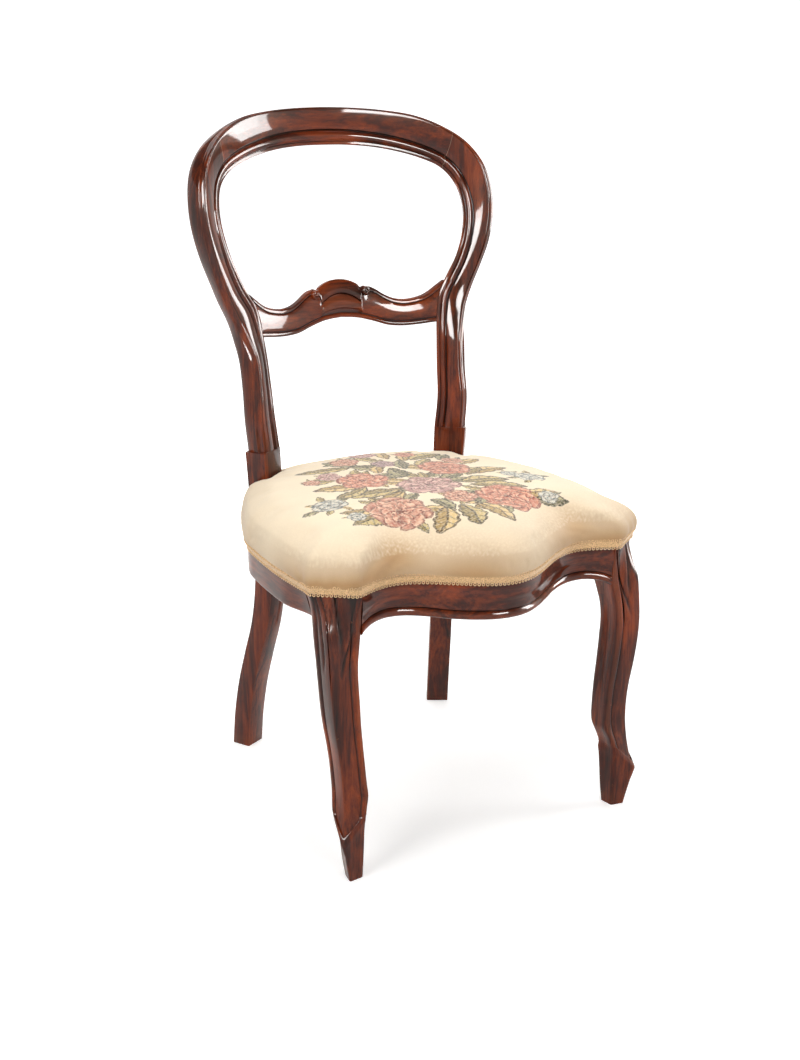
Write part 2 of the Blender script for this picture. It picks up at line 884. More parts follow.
@dataclass
class Back:
    """The rear posts, the crest and the cross rail."""

    moulding: HoopMoulding = HoopMoulding()
    steps: int = 208
    leg_steps: int = 44
    foot_depth: float = 0.029
    leg_edge: float = 0.0016
    overrun: float = 0.003
    joint_low: tuple[float, float] = (0.764, 0.809)
    joint_top: tuple[float, float] = (0.815, 0.915)

    def __post_init__(self) -> None:
        """Lays the hoop's two edges out."""
        self.edges = [self.edge(0), self.edge(3)]

    def edge(self, first: int) -> SmoothPath:
        """The curve of the inner or the outer edge, over the whole hoop."""
        size = np.array((PLAN.back_half_width, PLAN.seat_depth, PLAN.hoop_rise))
        half = np.array([row[first:first + 3] for row in HOOP_SHARES]) * size + (0, 0, PLAN.notch_height)
        return SmoothPath(np.concatenate((half, half[-2::-1] * (-1, 1, 1))))

    def frame_at(self, share: float) -> tuple[np.ndarray, np.ndarray, np.ndarray, float]:
        """Where the hoop's section stands.

        Args:
            share: The share of the way round the hoop.

        Returns:
            The inner edge, the directions outwards and backwards, and the width.
        """
        inner, outer = (edge.at(share) for edge in self.edges)
        across = outer - inner
        width = float(np.linalg.norm(across))
        across /= width
        along = sum(edge.tangent(share) for edge in self.edges)
        back = np.cross(along / np.linalg.norm(along), across)
        return inner, across, back / np.linalg.norm(back), width

    def ring(self, share: float) -> tuple[np.ndarray, np.ndarray]:
        """The points and tones of the hoop's section at a share.

        Args:
            share: The share of the way round the hoop.

        Returns:
            Its points and their tones.
        """
        inner, across, back, width = self.frame_at(share)
        top = (1 - abs(2 * share - 1)) ** 2
        rows = self.moulding.outline(width, top)
        return inner + rows[:, :1] * across + rows[:, 1:2] * back, rows[:, 2]

    def hoop(self) -> Skin:
        """The whole hoop, run a little into the legs."""
        rings, tones = zip(*(self.ring(s) for s in np.linspace(0, 1, self.steps + 1)))
        low, high = rings[0] - (0, 0, self.overrun), rings[-1] - (0, 0, self.overrun)
        return loft(np.array([low, *rings, high]), np.array([tones[0], *tones, tones[-1]]))

    def leg_corners(self, share: float) -> tuple[np.ndarray, np.ndarray, np.ndarray, float, float]:
        """The rear leg's section at a share of its height: corner, directions and size.

        Args:
            share: The share of its height.

        Returns:
            The inner front corner, the directions outwards and backwards, the width and the depth.
        """
        row = SmoothPath(np.array(REAR_LEG_SHARES)).at(self.leg_share(share))
        size = np.array((PLAN.back_half_width, PLAN.seat_depth))
        inner, outer = row[1:3] * size, row[3:5] * size
        width = float(np.linalg.norm(outer - inner))
        across = (outer - inner) / width
        back = np.array((-across[1], across[0]))
        depth = self.foot_depth + (PLAN.stile_depth - self.foot_depth) * share
        return inner, across, back, width, depth

    def leg_share(self, share: float) -> float:
        """The way along the leg's table at a share of its height."""
        heights = [row[0] for row in REAR_LEG_SHARES]
        return float(np.interp(share, heights, np.linspace(0, 1, len(heights))))

    def leg(self) -> Skin:
        """The right rear leg, from the floor to the notch.

        Returns:
            The closed skin.
        """
        rings, tones = [], []
        for share in np.linspace(0, 1, self.leg_steps + 1):
            inner, across, back, width, depth = self.leg_corners(share)
            e = self.leg_edge
            section = [
                (e, 0), (width / 2, -0.0002), (width - e, 0), (width - e * 0.3, e * 0.3), (width, e),
                (width, depth / 2), (width, depth - e), (width - e * 0.3, depth - e * 0.3),
                (width - e, depth), (e, depth), (e * 0.3, depth - e * 0.3), (0, depth - e),
                (0, depth / 2), (0, e), (e * 0.3, e * 0.3),
            ]
            plan = [inner + a * across + b * back for a, b in section]
            rings.append([(x, y, share * PLAN.notch_height) for x, y in plan])
            worn = [0.6 if k in (3, 7, 10, 14) else 0.0 for k in range(len(section))]
            tones.append([t + 0.5 * step_up(share, 0.06, 0.0) if share < 0.06 else t for t in worn])
        return loft(np.array(rings), np.array(tones))

    def joint(self, side: int) -> tuple[Row, Row]:
        """A point and the normal of the crest joint on one side, in the frame.

        Args:
            side: 1 on the right, -1 on the left.

        Returns:
            The point and the normal.
        """
        scale = np.array((PLAN.back_half_width, PLAN.hoop_rise))
        low, top = np.array(self.joint_low) * scale, np.array(self.joint_top) * scale
        way = (top - low) / np.linalg.norm(top - low)
        point = (side * float(low[0]), 0.0, float(low[1]) + PLAN.notch_height)
        return point, (side * float(way[1]), 0.0, -float(way[0]))

    def build_post(self, side: str, wood: Material) -> None:
        """Makes one rear post, with its leg and its part of the hoop.

        Args:
            side: Its side's name.
            wood: The wood's material.
        """
        name, sign = f"rear_post_{side}", SIDES[side]
        post = make_piece(f"{name}_finished", [self.hoop()])
        cut_at_plane(post, (0, 0, 0), (-sign, 0, 0))
        point, normal = self.joint(sign)
        cut_at_plane(post, point, tuple(-n for n in normal))
        apply_boolean(post, make_piece("leg_tool", [self.leg().on_side(sign)]), "UNION")
        soften(post)
        dress(post, wood, "show_wood", name)

    def build_crest(self, wood: Material) -> None:
        """Makes the crest between its two joints."""
        crest = make_piece("crest_rail_finished", [self.hoop()])
        for side in SIDES.values():
            cut_at_plane(crest, *self.joint(side))
        soften(crest)
        dress(crest, wood, "show_wood", "crest_rail")

    def space(self) -> Skin:
        """All the space from the hoop's inner side outwards, which the cross rail keeps out of.

        Returns:
            The closed skin.
        """
        rings = []
        for share in np.linspace(0, 1, self.steps + 1):
            inner, across, back, width = self.frame_at(share)
            corners = ((0, 0.045), (0, 0), (0, -0.015), (width, -0.015), (width, 0.045))
            rings.append([inner + a * across + b * back for a, b in corners])
        return loft(np.array(rings))


CROSS_TOP_SHARES: list[Row] = [
    (0, 0.4787), (0.046, 0.4765), (0.093, 0.47), (0.13, 0.461), (0.162, 0.4472), (0.168, 0.4472),
    (0.19, 0.4517), (0.208, 0.4517), (0.25, 0.444), (0.3, 0.428), (0.36, 0.4135), (0.43, 0.4075),
    (0.5, 0.411), (0.58, 0.4225), (0.667, 0.4404), (0.72, 0.453),
]
CROSS_LOW_SHARES: list[Row] = [
    (0, 0.3618), (0.12, 0.356), (0.231, 0.342), (0.32, 0.3285), (0.41, 0.3245), (0.51, 0.327),
    (0.61, 0.333), (0.72, 0.338),
]


@dataclass
class CrossRail:
    """The scrolled rail across the back: two arms, a tablet between them and two volutes."""

    depth: float = 0.018
    bow: float = 0.036
    fall: float = 0.006
    lean: float = 0.18
    centre_share: float = 0.392
    reach_share: float = 0.68
    bead: float = 0.006
    bead_rise: float = 0.0018
    bead_setback: float = 0.0032
    bead_setback_top: float = 0.0014
    overrun: float = 0.003
    tablet_half: float = 0.033
    tablet_edge: float = 0.003
    tablet_rise: float = 0.0022
    flare: float = 0.009
    volute_radius: float = 0.0066
    volute_x_share: float = 0.183
    volute_height_share: float = 0.438
    steps: int = 300

    def face(self, x: float, height: float) -> float:
        """Depth of the rail's front at a place, before its relief."""
        share = x / (self.reach_share * PLAN.back_half_width)
        lean = self.lean * (height - CROSS_LOW_SHARES[0][1] * PLAN.hoop_rise)
        return self.centre_share * PLAN.seat_depth - self.bow * share**2 + lean

    def edge_heights(self, x: float) -> tuple[float, float]:
        """Heights of the lower and upper edges over the notch.

        Args:
            x: Distance from the chair's middle.

        Returns:
            The two heights.
        """
        span = abs(x) / PLAN.back_half_width
        low = curved_at(CROSS_LOW_SHARES, span)
        table = CROSS_TOP_SHARES[:5] if span < CROSS_TOP_SHARES[4][0] else CROSS_TOP_SHARES[5:]
        flare = self.flare * step_up(span, self.reach_share - 0.13, self.reach_share + 0.05)
        return low * PLAN.hoop_rise, curved_at(table, span) * PLAN.hoop_rise + flare

    def foot_rows(self, low: float) -> list[Row]:
        """Depth, height and tone of a section's back foot and its lower bead."""
        rows = [(self.depth, low + 0.001, BEHIND), (self.depth / 2, low, -0.2)]
        start, end = (self.bead_setback, low), (self.bead_setback_top, low + self.bead)
        return rows + swelling(bowed(start, end, self.bead_rise, 8), 0.5, 0.2)

    def head_rows(self, top: float) -> list[Row]:
        """Depth, height and tone of a section's top, which falls to the back."""
        rows = [(0.011, top - 0.001, -0.1), (self.depth - 0.001, top - self.fall + 0.001, -0.2)]
        return [*rows, (self.depth, top - self.fall, BEHIND)]

    def arm_section(self, low: float, top: float) -> list[Row]:
        """The section of an arm between two heights, from its back foot round the front.

        Args:
            low: Height of its lower edge.
            top: Height of its upper edge.

        Returns:
            Rows of depth, height and tone.
        """
        start, end = low + self.bead, top - self.bead
        rows = [(0.0026, start + 0.0006, DEEP), (0.0024, start + 0.0014, GROOVE)]
        rows += toned(bowed((0.0006, start + 0.0024), (0.0012, end - 0.002), 0.0012, 12), 0.2)
        rows += [(0.0028, end - 0.0008, DEEP), (0.0026, end, GROOVE)]
        rows += toned(bowed((0.001, end + 0.0006), (0.0062, top), 0.002, 9), -0.1, 7, 0.1)
        return self.foot_rows(low) + rows + self.head_rows(top)

    def tablet_section(self, low: float, top: float, share: float) -> list[Row]:
        """The section of the tablet, with a bright panel under an arched band.

        Args:
            low: Height of its lower edge.
            top: Height of its upper edge.
            share: How far from its middle, 0, to its end, 1.

        Returns:
            Rows of depth, height and tone, as many as an arm's.
        """
        rise, proud = top - low, self.tablet_rise
        foot, head = low + 0.27 * rise, low + (0.62 - 0.14 * share**2) * rise
        rows = [(0.0022, low + self.bead + 0.001, DEEP), (0.0006, foot - 0.0016, -0.3)]
        rows += toned(bowed((0.0004 - proud, foot), (0.0024 - proud, head), 0.0022, 12), 0.5)
        rows += [(0.0036 - proud, head + 0.0005, DEEP), (0.003 - proud, head + 0.0012, -0.7)]
        band = bowed((0.0012 - proud, head + 0.0022), (0.0062 - proud, top), 0.0018, 9)
        rows += toned(band, -0.25, 7, 0.3)
        return self.foot_rows(low) + rows + self.head_rows(top)

    def body(self) -> Skin:
        """The rail's body, run a little past the posts' inner sides.

        Returns:
            The closed skin.
        """
        rings, tones = [], []
        reach = self.reach_share * PLAN.back_half_width + self.overrun
        for x in np.linspace(-reach, reach, self.steps + 1):
            low, top = self.edge_heights(x)
            arm = np.array(self.arm_section(low, top))
            tablet = np.array(self.tablet_section(low, top, x / self.tablet_half))
            weight = step_up(abs(x), self.tablet_half, self.tablet_half - self.tablet_edge)
            rows = arm * (1 - weight) + tablet * weight
            rings.append([(x, self.face(x, h) + d, PLAN.notch_height + h) for d, h, _ in rows])
            tones.append(rows[:, 2])
        return loft(np.array(rings), np.array(tones))

    def volute(self, side: int) -> Skin:
        """A carved scroll: a low dome with a ridge that winds in to its eye.

        Args:
            side: 1 on the right, -1 on the left.

        Returns:
            The closed skin.
        """
        rounds, spokes, proud = 14, 40, 0.0046
        x = side * self.volute_x_share * PLAN.back_half_width
        height = self.volute_height_share * PLAN.hoop_rise
        centre = np.array((x, self.face(x, height), PLAN.notch_height + height))
        rings, tones = [], []
        for level in range(rounds + 1):
            radius = self.volute_radius * (1 - level / rounds) + 0.0002
            share = radius / self.volute_radius
            dome = proud * math.sqrt(max(1 - share**2, 0))
            ring, tone = [], []
            for k in range(spokes):
                angle = math.tau * k / spokes
                winding = math.sin(side * angle + share * math.tau)
                out = dome + 0.0007 * winding
                ring.append(centre + (radius * math.cos(angle), -out, radius * math.sin(angle)))
                tone.append(0.45 * winding)
            rings.append(ring)
            tones.append(tone)
        base = [p + (0, self.depth / 2, 0) for p in rings[0]]
        return loft(np.array([base, *rings]), np.array([tones[0], *tones]))

    def build(self, back: Back, wood: Material) -> None:
        """Makes the rail and cuts it to the posts.

        Args:
            back: The back that it joins.
            wood: The wood's material.
        """
        rail = make_piece("cross_rail_finished", [self.body()])
        apply_boolean(rail, make_piece("space_tool", [back.space()]), "DIFFERENCE")
        knobs = make_piece("volute_tool", [self.volute(1), self.volute(-1)])
        apply_boolean(rail, knobs, "UNION")
        soften(rail)
        dress(rail, wood, "show_wood", "cross_rail")


LEG_SHARES: list[Row] = [
    (0, 0.847, -0.5643, 0.376, 0.31),
    (0.033, 0.85, -0.5643, 0.422, 0.33),
    (0.069, 0.854, -0.564, 0.484, 0.34),
    (0.096, 0.857, -0.564, 0.531, 0.34),
    (0.124, 0.8637, -0.5627, 0.6156, 0.29),
    (0.147, 0.8667, -0.562, 0.68, 0.25),
    (0.157, 0.866, -0.5605, 0.7, 0.17),
    (0.17, 0.862, -0.557, 0.722, 0.06),
    (0.195, 0.8555, -0.551, 0.752, 0),
    (0.22, 0.848, -0.546, 0.771, 0),
    (0.261, 0.841, -0.539, 0.782, 0),
    (0.33, 0.8396, -0.531, 0.769, 0),
    (0.399, 0.8456, -0.5275, 0.767, 0),
    (0.468, 0.8568, -0.5263, 0.784, 0),
    (0.55, 0.874, -0.5277, 0.824, 0),
    (0.633, 0.886, -0.5297, 0.851, 0),
    (0.715, 0.894, -0.529, 0.86, 0),
    (0.77, 0.893, -0.524, 0.884, 0),
    (0.825, 0.8856, -0.5155, 0.947, 0),
]
FOOT_SHARES: list[Row] = [
    (0.05, 0), (0, 0.05), (0, 0.5), (0, 0.9), (0.03, 0.96), (0.08, 0.985), (0.2, 1), (0.28, 1),
    (0.34, 1), (0.62, 1), (0.88, 1), (0.96, 0.96), (1, 0.88), (1, 0.62), (1, 0.34), (1, 0.28),
    (1, 0.2), (0.985, 0.08), (0.96, 0.03), (0.9, 0), (0.5, 0),
]
SHANK_SHARES: list[Row] = [
    (0.03, 0), (0, 0.03), (0, 0.5), (0, 0.9), (0.04, 0.975), (0.13, 1), (0.22, 0.985), (0.28, 0.93),
    (0.34, 0.965), (0.62, 0.985), (0.88, 0.97), (0.95, 0.95), (0.97, 0.88), (0.985, 0.62),
    (0.965, 0.34), (0.93, 0.28), (0.985, 0.22), (1, 0.13), (0.975, 0.04), (0.9, 0), (0.5, 0),
]
BLOCK_SHARES: list[Row] = [
    (0.03, 0), (0, 0.03), (0, 0.5), (0, 0.965), (0.008, 0.992), (0.05, 1), (0.13, 1), (0.22, 0.93),
    (0.34, 0.83), (0.48, 0.715), (0.6, 0.62), (0.7, 0.54), (0.78, 0.47), (0.86, 0.405),
    (0.93, 0.35), (0.98, 0.31), (1, 0.25), (1, 0.13), (0.985, 0.03), (0.9, 0), (0.5, 0),
]
LEG_TONES: Row = (0.2, 0.3, 0, 0, 0.5, 0.5, 0, -1, -0.1, 0, 0.1, 0.3, 0.1, 0, -0.1, -1, 0, 0.5, 0.5, 0, 0)


TOE_WAY = np.array((1, -1)) / math.sqrt(2)


@dataclass
class FrontLeg:
    """A cabriole front leg with its top block, one piece."""

    block_start_share: float = 0.88
    rebate: float = 0.005
    rows_between: int = 8
    points_between: int = 6
    ledge_rise: float = 0.025
    ledge_heights: Row = (0.012, 0.05, 0.07, 0.13)
    worn_height: float = 0.03
    dark_heights: Row = (0.345, 0.362)
    fold_depth: float = 0.0024
    fold_width: float = 0.0085
    folds: tuple[tuple[Row, ...], ...] = (
        ((0.36, 0.255), (0.345, 0.285), (0.31, 0.315), (0.265, 0.34), (0.235, 0.3635)),
        ((0.43, 0.262), (0.4, 0.29), (0.352, 0.32), (0.31, 0.345), (0.29, 0.3635)),
        ((0.42, 0.29), (0.425, 0.315), (0.44, 0.335), (0.455, 0.3635)),
        ((0.53, 0.25), (0.53, 0.29), (0.56, 0.33), (0.6, 0.3635)),
        ((0.62, 0.27), (0.615, 0.3), (0.635, 0.335), (0.665, 0.3635)),
    )

    def rows(self) -> list[tuple[float, np.ndarray, float]]:
        """Height, plan and foot share of each ring that the leg passes.

        Returns:
            One row for each ring.
        """
        made = []
        for height, x, y, size, stretch in LEG_SHARES:
            to_foot = min(stretch * 6, 1)
            plan = np.array(SHANK_SHARES) * (1 - to_foot) + np.array(FOOT_SHARES) * to_foot
            place = (plan - 0.5) * (1, -1) * size * PLAN.leg_size
            place = place + np.outer(place @ TOE_WAY, TOE_WAY) * stretch
            place = place + (x * PLAN.seat_half_width, y * PLAN.seat_depth)
            made.append((height * PLAN.seat_height, place, to_foot))
        start = self.block_start_share * PLAN.seat_height
        block = np.array((PLAN.block_width, PLAN.block_depth))
        for share in (0, 0.3, 0.65, 1):
            size = PLAN.leg_size + (block - PLAN.leg_size) * share**2
            made.append((start + (PLAN.seat_height - start) * share, self.block_plan(*size, share), 0.0))
        return made

    def block_plan(self, width: float, depth: float, cut: float) -> np.ndarray:
        """The plan of the top block, from the moulded shank, 0, to the cut corner, 1."""
        plan = np.array(SHANK_SHARES) * (1 - cut) + np.array(BLOCK_SHARES) * cut
        return np.array((PLAN.block_inner, PLAN.block_back)) + plan * (width, -depth)

    def ledge_lift(self, plan: np.ndarray, height: float) -> np.ndarray:
        """How far each point of a ring rises, so that the foot's ledge dips to the toe.

        Args:
            plan: The ring's points.
            height: Its height.

        Returns:
            The rise of each point.
        """
        low, rest, fall, high = self.ledge_heights
        reach = (plan - plan.mean(axis=0)) @ TOE_WAY
        away = 1 - np.clip(reach / reach.max(), 0, 1)
        return self.ledge_rise * away * step_up(height, low, rest) * step_up(height, high, fall)

    def carved(self, plan: np.ndarray, heights: np.ndarray) -> tuple[np.ndarray, np.ndarray]:
        """Cuts the folds of the knee into a ring.

        Args:
            plan: The ring's points.
            heights: Their heights.

        Returns:
            The ring with its grooves, and the tone that they add.
        """
        shares = np.arange(len(plan)) / len(plan)
        groove = np.zeros(len(plan))
        for fold in self.folds:
            rows = np.array(fold)
            at = np.interp(heights, rows[:, 1], rows[:, 0])
            inside = (heights > rows[0, 1]) & (heights < rows[-1, 1] + 0.001)
            fade = np.clip((heights - rows[0, 1]) / 0.02, 0, 1)
            groove = np.maximum(groove, inside * fade * bell(shares, at, self.fold_width))
        inward = plan.mean(axis=0) - plan
        inward /= np.linalg.norm(inward, axis=1, keepdims=True)
        return plan + inward * (self.fold_depth * groove)[:, None], -1.1 * groove

    def fine(self, plan: np.ndarray, tones: np.ndarray) -> tuple[np.ndarray, np.ndarray]:
        """Rounds a ring off and reads its tones between its points.

        Args:
            plan: The ring's points.
            tones: Their tones.

        Returns:
            More points on a smooth ring, and their tones.
        """
        closed = np.concatenate((plan, plan[:1]))
        shares = np.linspace(0, 1, len(plan) * self.points_between + 1)[:-1]
        path = SmoothPath(closed)
        spread = np.interp(shares, np.linspace(0, 1, len(closed)), np.append(tones, tones[0]))
        return np.array([path.at(s) for s in shares]), spread

    def skin(self) -> Skin:
        """The right leg's skin.

        Returns:
            The closed skin.
        """
        rows = self.rows()
        stacked = [np.append(plan.ravel(), (height, foot)) for height, plan, foot in rows]
        path = SmoothPath(np.array(stacked))
        rings, tones = [], []
        for share in np.linspace(0, 1, (len(rows) - 1) * self.rows_between + 1):
            *flat, height, to_foot = path.at(share)
            faded = np.array(LEG_TONES) * (1 - 0.7 * min(to_foot, 1))
            plan, tone = self.fine(np.reshape(flat, (-1, 2)), faded)
            heights = height + self.ledge_lift(plan, height)
            carved, groove = self.carved(plan, heights)
            rings.append(np.column_stack((carved, heights)))
            foot = 0.35 * step_up(height, self.worn_height, 0)
            top = 0.45 * step_up(height, *self.dark_heights)
            tones.append(tone + groove + foot - top)
        plan = self.block_plan(PLAN.block_width - self.rebate, PLAN.block_depth - self.rebate, 1)
        fine, tone = self.fine(plan, np.zeros(len(LEG_TONES)))
        for height in (PLAN.seat_height + 0.0001, PLAN.rail_top):
            rings.append(np.column_stack((fine, np.full(len(fine), height))))
            tones.append(tone)
        return loft(np.array(rings), np.array(tones))

    def build(self, wood: Material) -> None:
        """Makes both legs."""
        skin = self.skin()
        for side, sign in SIDES.items():
            leg = make_piece(f"front_leg_{side}_finished", [skin.on_side(sign)])
            dress(leg, wood, "show_wood", f"front_leg_{side}")


FRONT_SHARES: list[Row] = [
    (0, -0.6737), (0.1, -0.6627), (0.2, -0.6328), (0.3, -0.5931), (0.4, -0.5551), (0.5, -0.5302),
    (0.585, -0.5245), (0.688, -0.5387),
]
SIDE_SHARES: list[Row] = [
    (1.003, -0.4523), (1.0165, -0.32), (1.012, -0.2), (1.001, -0.115), (0.985, -0.042),
    (0.925, 0.047), (0.856, 0.141), (0.798, 0.216),
]
FRONT_DROP_SHARES: list[Row] = [
    (0, 1.03), (0.12, 1.045), (0.215, 1.06), (0.301, 1.06), (0.417, 1.01), (0.559, 0.96), (0.66, 0.96),
    (0.72, 1.02), (0.76, 1.1), (0.7794, 1.16),
]


@dataclass
class SeatRails:
    """The serpentine front rail and the two side rails."""

    front_thickness: float = 0.026
    front_drop: float = 0.044
    bead: float = 0.0105
    quirk: float = 0.0034
    side_thickness: float = 0.024
    side_drop: float = 0.035
    rebate: float = 0.0038
    side_round: float = 0.004
    tuck: float = 0.0095
    tuck_reach: float = 0.06
    front_steps: int = 240
    side_steps: int = 70

    def front_path(self, steps: int) -> np.ndarray:
        """The front rail's line in plan, from left to right."""
        half = np.array(FRONT_SHARES) * (PLAN.seat_half_width, PLAN.seat_depth)
        half = np.concatenate((half, [(PLAN.block_inner - PLAN.gap, PLAN.front_end)]))
        return SmoothPath(np.concatenate((half[:0:-1] * (-1, 1), half))).spaced(steps)

    def side_path(self, steps: int) -> np.ndarray:
        """The right side rail's line in plan, from the leg to the post.

        Args:
            steps: Number of steps.

        Returns:
            The points, one more than the steps.
        """
        line = np.array(SIDE_SHARES) * (PLAN.seat_half_width, PLAN.seat_depth)
        line[0, 1] = PLAN.block_back + PLAN.gap
        inner, across, back, width, depth = Back().leg_corners(PLAN.seat_height / PLAN.notch_height)
        end = inner + across * width + back * (depth - 0.003)
        return SmoothPath(np.concatenate((line, [end]))).spaced(steps)

    @staticmethod
    def normals(path: np.ndarray, first: Row, last: Row | None = None) -> np.ndarray:
        """Directions out of a line in plan, with its ends' given where they are fixed.

        Args:
            path: The line's points.
            first: Direction at its start.
            last: Direction at its end, if given.

        Returns:
            A unit vector for each point.
        """
        way = np.gradient(path, axis=0)
        out = np.stack((way[:, 1], -way[:, 0]), axis=1)
        out /= np.linalg.norm(out, axis=1, keepdims=True)
        out[0] = first
        if last is not None:
            out[-1] = last
        return out

    def front_section(self, point: np.ndarray) -> np.ndarray:
        """Inset, height and tone of the front rail's section at a place.

        Args:
            point: The place in plan.

        Returns:
            The section's rows.
        """
        drop = curved_at(FRONT_DROP_SHARES, abs(point[0]) / PLAN.seat_half_width) * self.front_drop
        show, quirk, low = PLAN.seat_height, self.quirk, PLAN.seat_height - drop
        over, middle = low + self.bead, (low + self.bead + show) / 2
        rows = [(self.front_thickness, low, BEHIND), (self.bead * 0.6, low, -0.2)]
        rows += swelling(bowed((quirk, low + 0.0004), (quirk * 0.8, over), 0.0028, 12), 0.45, 0.1)
        rows += [(quirk * 1.1, over + 0.0006, DEEP), (quirk * 1.05, over + 0.0014, GROOVE)]
        rows += toned(bowed((quirk * 0.8, over + 0.0022), (0, middle), -0.0009, 8), -0.15, 5, 0.25)
        rows += toned(bowed((0, middle + 0.0006), (quirk / 3, show - 0.0006), 0.0006, 8), 0.1)
        rows += [(quirk / 3 + 0.0006, show, 0.2), (self.rebate, show, -0.5)]
        return np.array([*rows, (self.rebate, PLAN.rail_top, 0), (self.front_thickness, PLAN.rail_top, 0)])

    def side_section(self, point: np.ndarray) -> np.ndarray:
        """Inset, height and tone of a side rail's section, tucked in behind the leg at its foot.

        Args:
            point: The place in plan.

        Returns:
            The section's rows.
        """
        rows = self.plain_side_section()
        near = step_up(point[1], PLAN.block_back + self.tuck_reach, PLAN.block_back)
        deep = np.clip((PLAN.seat_height - rows[:, 1]) / self.side_drop, 0, 1)
        rows[:, 0] += self.tuck * near * deep
        return rows

    def plain_side_section(self) -> np.ndarray:
        """Inset, height and tone of a side rail's section."""
        low, show = PLAN.seat_height - self.side_drop, PLAN.seat_height
        arc = bowed((self.side_round, low), (0, low + self.side_round), 0.0012, 6)
        rows = [(self.side_thickness, low, BEHIND), *toned(arc, 0.3), (0, low + 0.012, 0)]
        rows += [(0, show - 0.0008, 0.2), (0.0008, show, 0.2), (self.rebate, show, -0.5)]
        return np.array([*rows, (self.rebate, PLAN.rail_top, 0), (self.side_thickness, PLAN.rail_top, 0)])

    def rings(
        self, path: np.ndarray, normals: np.ndarray, section: Callable[[np.ndarray], np.ndarray]
    ) -> Skin:
        """Lofts a section along a line in plan.

        Args:
            path: The line's points.
            normals: The directions out of it.
            section: Gives the section's rows of inset, height and tone at a point.

        Returns:
            The closed skin.
        """
        rings, tones = [], []
        for point, out in zip(path, normals):
            rows = section(point)
            rings.append(np.column_stack((point - rows[:, :1] * out, rows[:, 1])))
            tones.append(rows[:, 2])
        return loft(np.array(rings), np.array(tones))

    def build(self, back: Back, front_wood: Material, side_wood: Material) -> None:
        """Makes the front rail and both side rails.

        Args:
            back: The back that they join.
            front_wood: The front rail's wood.
            side_wood: The side rails' wood.
        """
        path = self.front_path(self.front_steps)
        front = self.rings(path, self.normals(path, (0, -1), (0, -1)), self.front_section)
        dress(make_piece("front_rail_finished", [front]), front_wood, "show_wood", "front_rail")
        path = self.side_path(self.side_steps)
        path = np.concatenate((path, [2 * path[-1] - path[-3]]))
        skin = self.rings(path, self.normals(path, (1, 0)), self.side_section)
        for side, sign in SIDES.items():
            rail = make_piece(f"side_rail_{side}_finished", [skin.on_side(sign)])
            apply_boolean(rail, make_piece("post_tool", [back.leg().on_side(sign)]), "DIFFERENCE")
            soften(rail)
            dress(rail, side_wood, "show_wood", f"side_rail_{side}")


COVER_PROFILE: list[Row] = [
    (0.0138, -0.13, 0), (0.138, 0.47, 0), (0.255, 1, 0), (0.38, 0.95, 0), (0.503, 0.47, 0), (0.62, -0.4, 0),
    (0.72, -0.4, 0.05), (0.81, -0.4, 0.14), (0.892, -0.4, 0.28), (0.955, -0.3, 0.5), (1, 0, 1),
]


class Bloom(Enum):
    """The kinds of flower in the bouquet, each with a dark, a middle and a light colour."""

    SALMON = ((0.17, 0.035, 0.024), (0.50, 0.17, 0.11), (0.82, 0.52, 0.35))
    CORAL = ((0.17, 0.024, 0.016), (0.50, 0.13, 0.075), (0.80, 0.42, 0.27))
    MAUVE = ((0.13, 0.045, 0.05), (0.44, 0.20, 0.19), (0.78, 0.53, 0.45))
    PLUM = ((0.06, 0.025, 0.035), (0.24, 0.11, 0.13), (0.62, 0.42, 0.40))
    BLUE = ((0.035, 0.045, 0.05), (0.30, 0.33, 0.32), (0.78, 0.72, 0.60))


class Leafage(Enum):
    """The greens of the leaves: outline, body and light side."""

    OLIVE = ((0.05, 0.036, 0.013), (0.27, 0.19, 0.055), (0.56, 0.42, 0.16))
    GOLD = ((0.09, 0.05, 0.015), (0.40, 0.25, 0.07), (0.70, 0.50, 0.21))
    MOSS = ((0.022, 0.024, 0.012), (0.12, 0.105, 0.045), (0.36, 0.31, 0.15))


